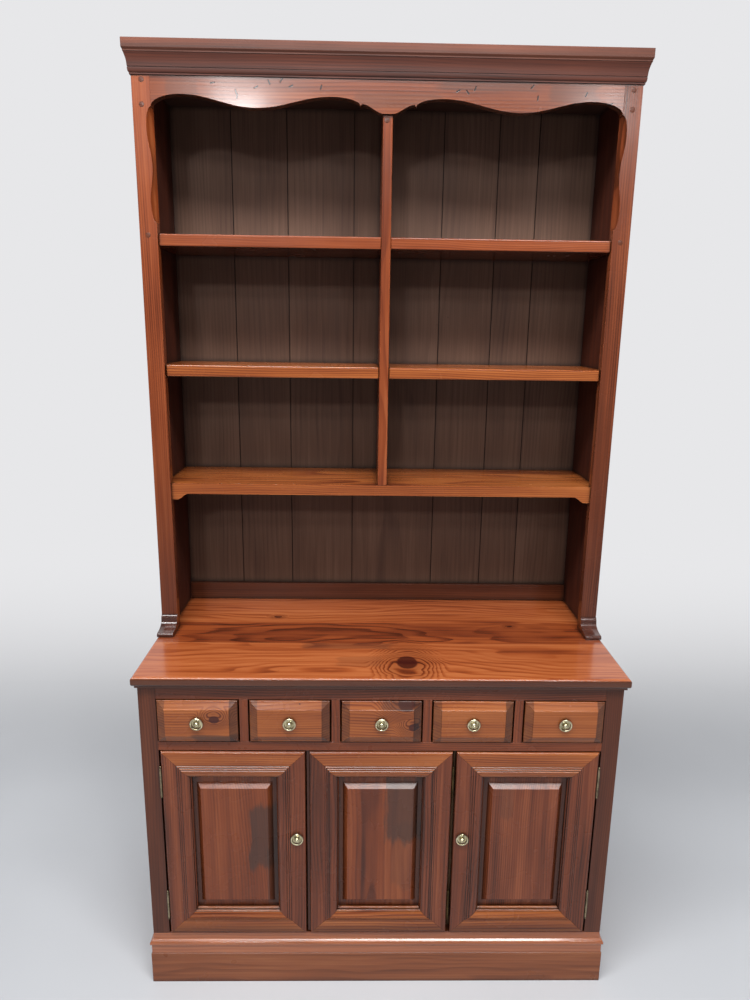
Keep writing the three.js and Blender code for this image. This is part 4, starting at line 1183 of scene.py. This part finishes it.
def stage():
    """Pale floor that bends up into a pale backdrop. Behind the dresser it turns into its plain colour."""
    half, front, wall, height, bend, glow_from = 6.0, -5.0, 2.4, 6.0, 1.2, 0.5
    g = Graph("pale_floor")
    place = g.node("ShaderNodeTexCoord").outputs["Object"]
    colour = g.ramp(g.noise(place, 1.5, 2), [(0.3, FLOOR_DARK), (0.7, FLOOR_LIGHT)])
    g.surface({"Base Color": colour, "Roughness": 0.7})
    glow = g.node("ShaderNodeEmission", {0: linear(WALL)}).outputs[0]
    ray = g.node("ShaderNodeLightPath").outputs
    seen = g.math("MAXIMUM", ray["Is Glossy Ray"], ray["Is Transmission Ray"])
    seen = g.math("MAXIMUM", seen, ray["Is Camera Ray"])
    back = g.node("ShaderNodeSeparateXYZ", {0: place}).outputs[1]
    part = g.times(seen, g.smooth(back, glow_from, wall - bend / 3))
    both = g.node("ShaderNodeMixShader", {0: part, 1: g.shader.outputs[0], 2: glow}).outputs[0]
    g.put(g.tree.nodes["Material Output"].inputs[0], both)
    floor = [(front, 0.0), (wall - bend, 0.0)]
    sweep = arc((wall - bend, bend), (bend, bend), -1, 0, 24)
    sheet("floor", floor, half, g.material)
    sheet("backdrop", sweep + [(wall, height)], half, g.material)


# Lamps: place, the point it is aimed at, size and brightness. The wide ones are what round edges mirror
MIDDLE = (0.0, 0.0, 1.2)
LAMPS = {
    "lamp_left": ((-1.0, -4.5, 3.05), MIDDLE, (0.3, 0.25), 130),
    "lamp_right": ((1.7, -4.2, 3.0), MIDDLE, (0.4, 0.3), 36),
    "lamp_overhead": ((-0.15, -1.2, 3.0), (0.0, -0.3, 0.0), (2.7, 0.50), 21),
    "lamp_row": ((0.0, -3.0, 3.0), MIDDLE, (2.0, 0.25), 9),
}
WORLD_COLOUR = "#f2f3f5"
WORLD_LEVEL = 0.31


def lights():
    for name, (place, target, size, radiance) in LAMPS.items():
        data = bpy.data.lights.new(name, "AREA")
        data.shape = "RECTANGLE"
        data.size, data.size_y = size
        data.energy = radiance * math.pi * size[0] * size[1]
        lamp = add_object(name, data)
        lamp.location = place
        lamp.rotation_euler = (Vector(target) - Vector(place)).to_track_quat("-Z", "Y").to_euler()
    world = bpy.data.worlds.new("studio")
    world.use_nodes = True
    background = world.node_tree.nodes["Background"].inputs
    background[0].default_value = linear(WORLD_COLOUR)
    background[1].default_value = WORLD_LEVEL
    bpy.context.scene.world = world


def camera():
    pitch, yaw, roll = CAMERA_TURN
    forward = Vector((math.sin(yaw) * math.cos(pitch), math.cos(yaw) * math.cos(pitch), -math.sin(pitch)))
    level = Vector((math.cos(yaw), -math.sin(yaw), 0))
    rise = level.cross(forward)
    right = math.cos(roll) * level + math.sin(roll) * rise
    up = math.cos(roll) * rise - math.sin(roll) * level
    data = bpy.data.cameras.new("camera")
    data.sensor_fit = "VERTICAL"
    data.sensor_height = SENSOR
    data.lens = SENSOR * FOCAL_PX / IMAGE_HEIGHT_PX
    made = add_object("camera", data)
    turn = Matrix((right, up, -forward)).transposed().to_4x4()
    made.matrix_world = Matrix.Translation(CAMERA_PLACE) @ turn
    bpy.context.scene.camera = made


camera()
lights()
stage()
solid_nodes()
face_frame()
plinth()
worktop()
for seed, name in ((70, "door_left"), (80, "door_middle"), (90, "door_right")):
    door(name, seed)
drawers()
stile(-1, "left")
stile(1, "right")
apron()
cornice()
back_boards()
pegs()

bpy.context.scene.view_settings.view_transform = "Standard"
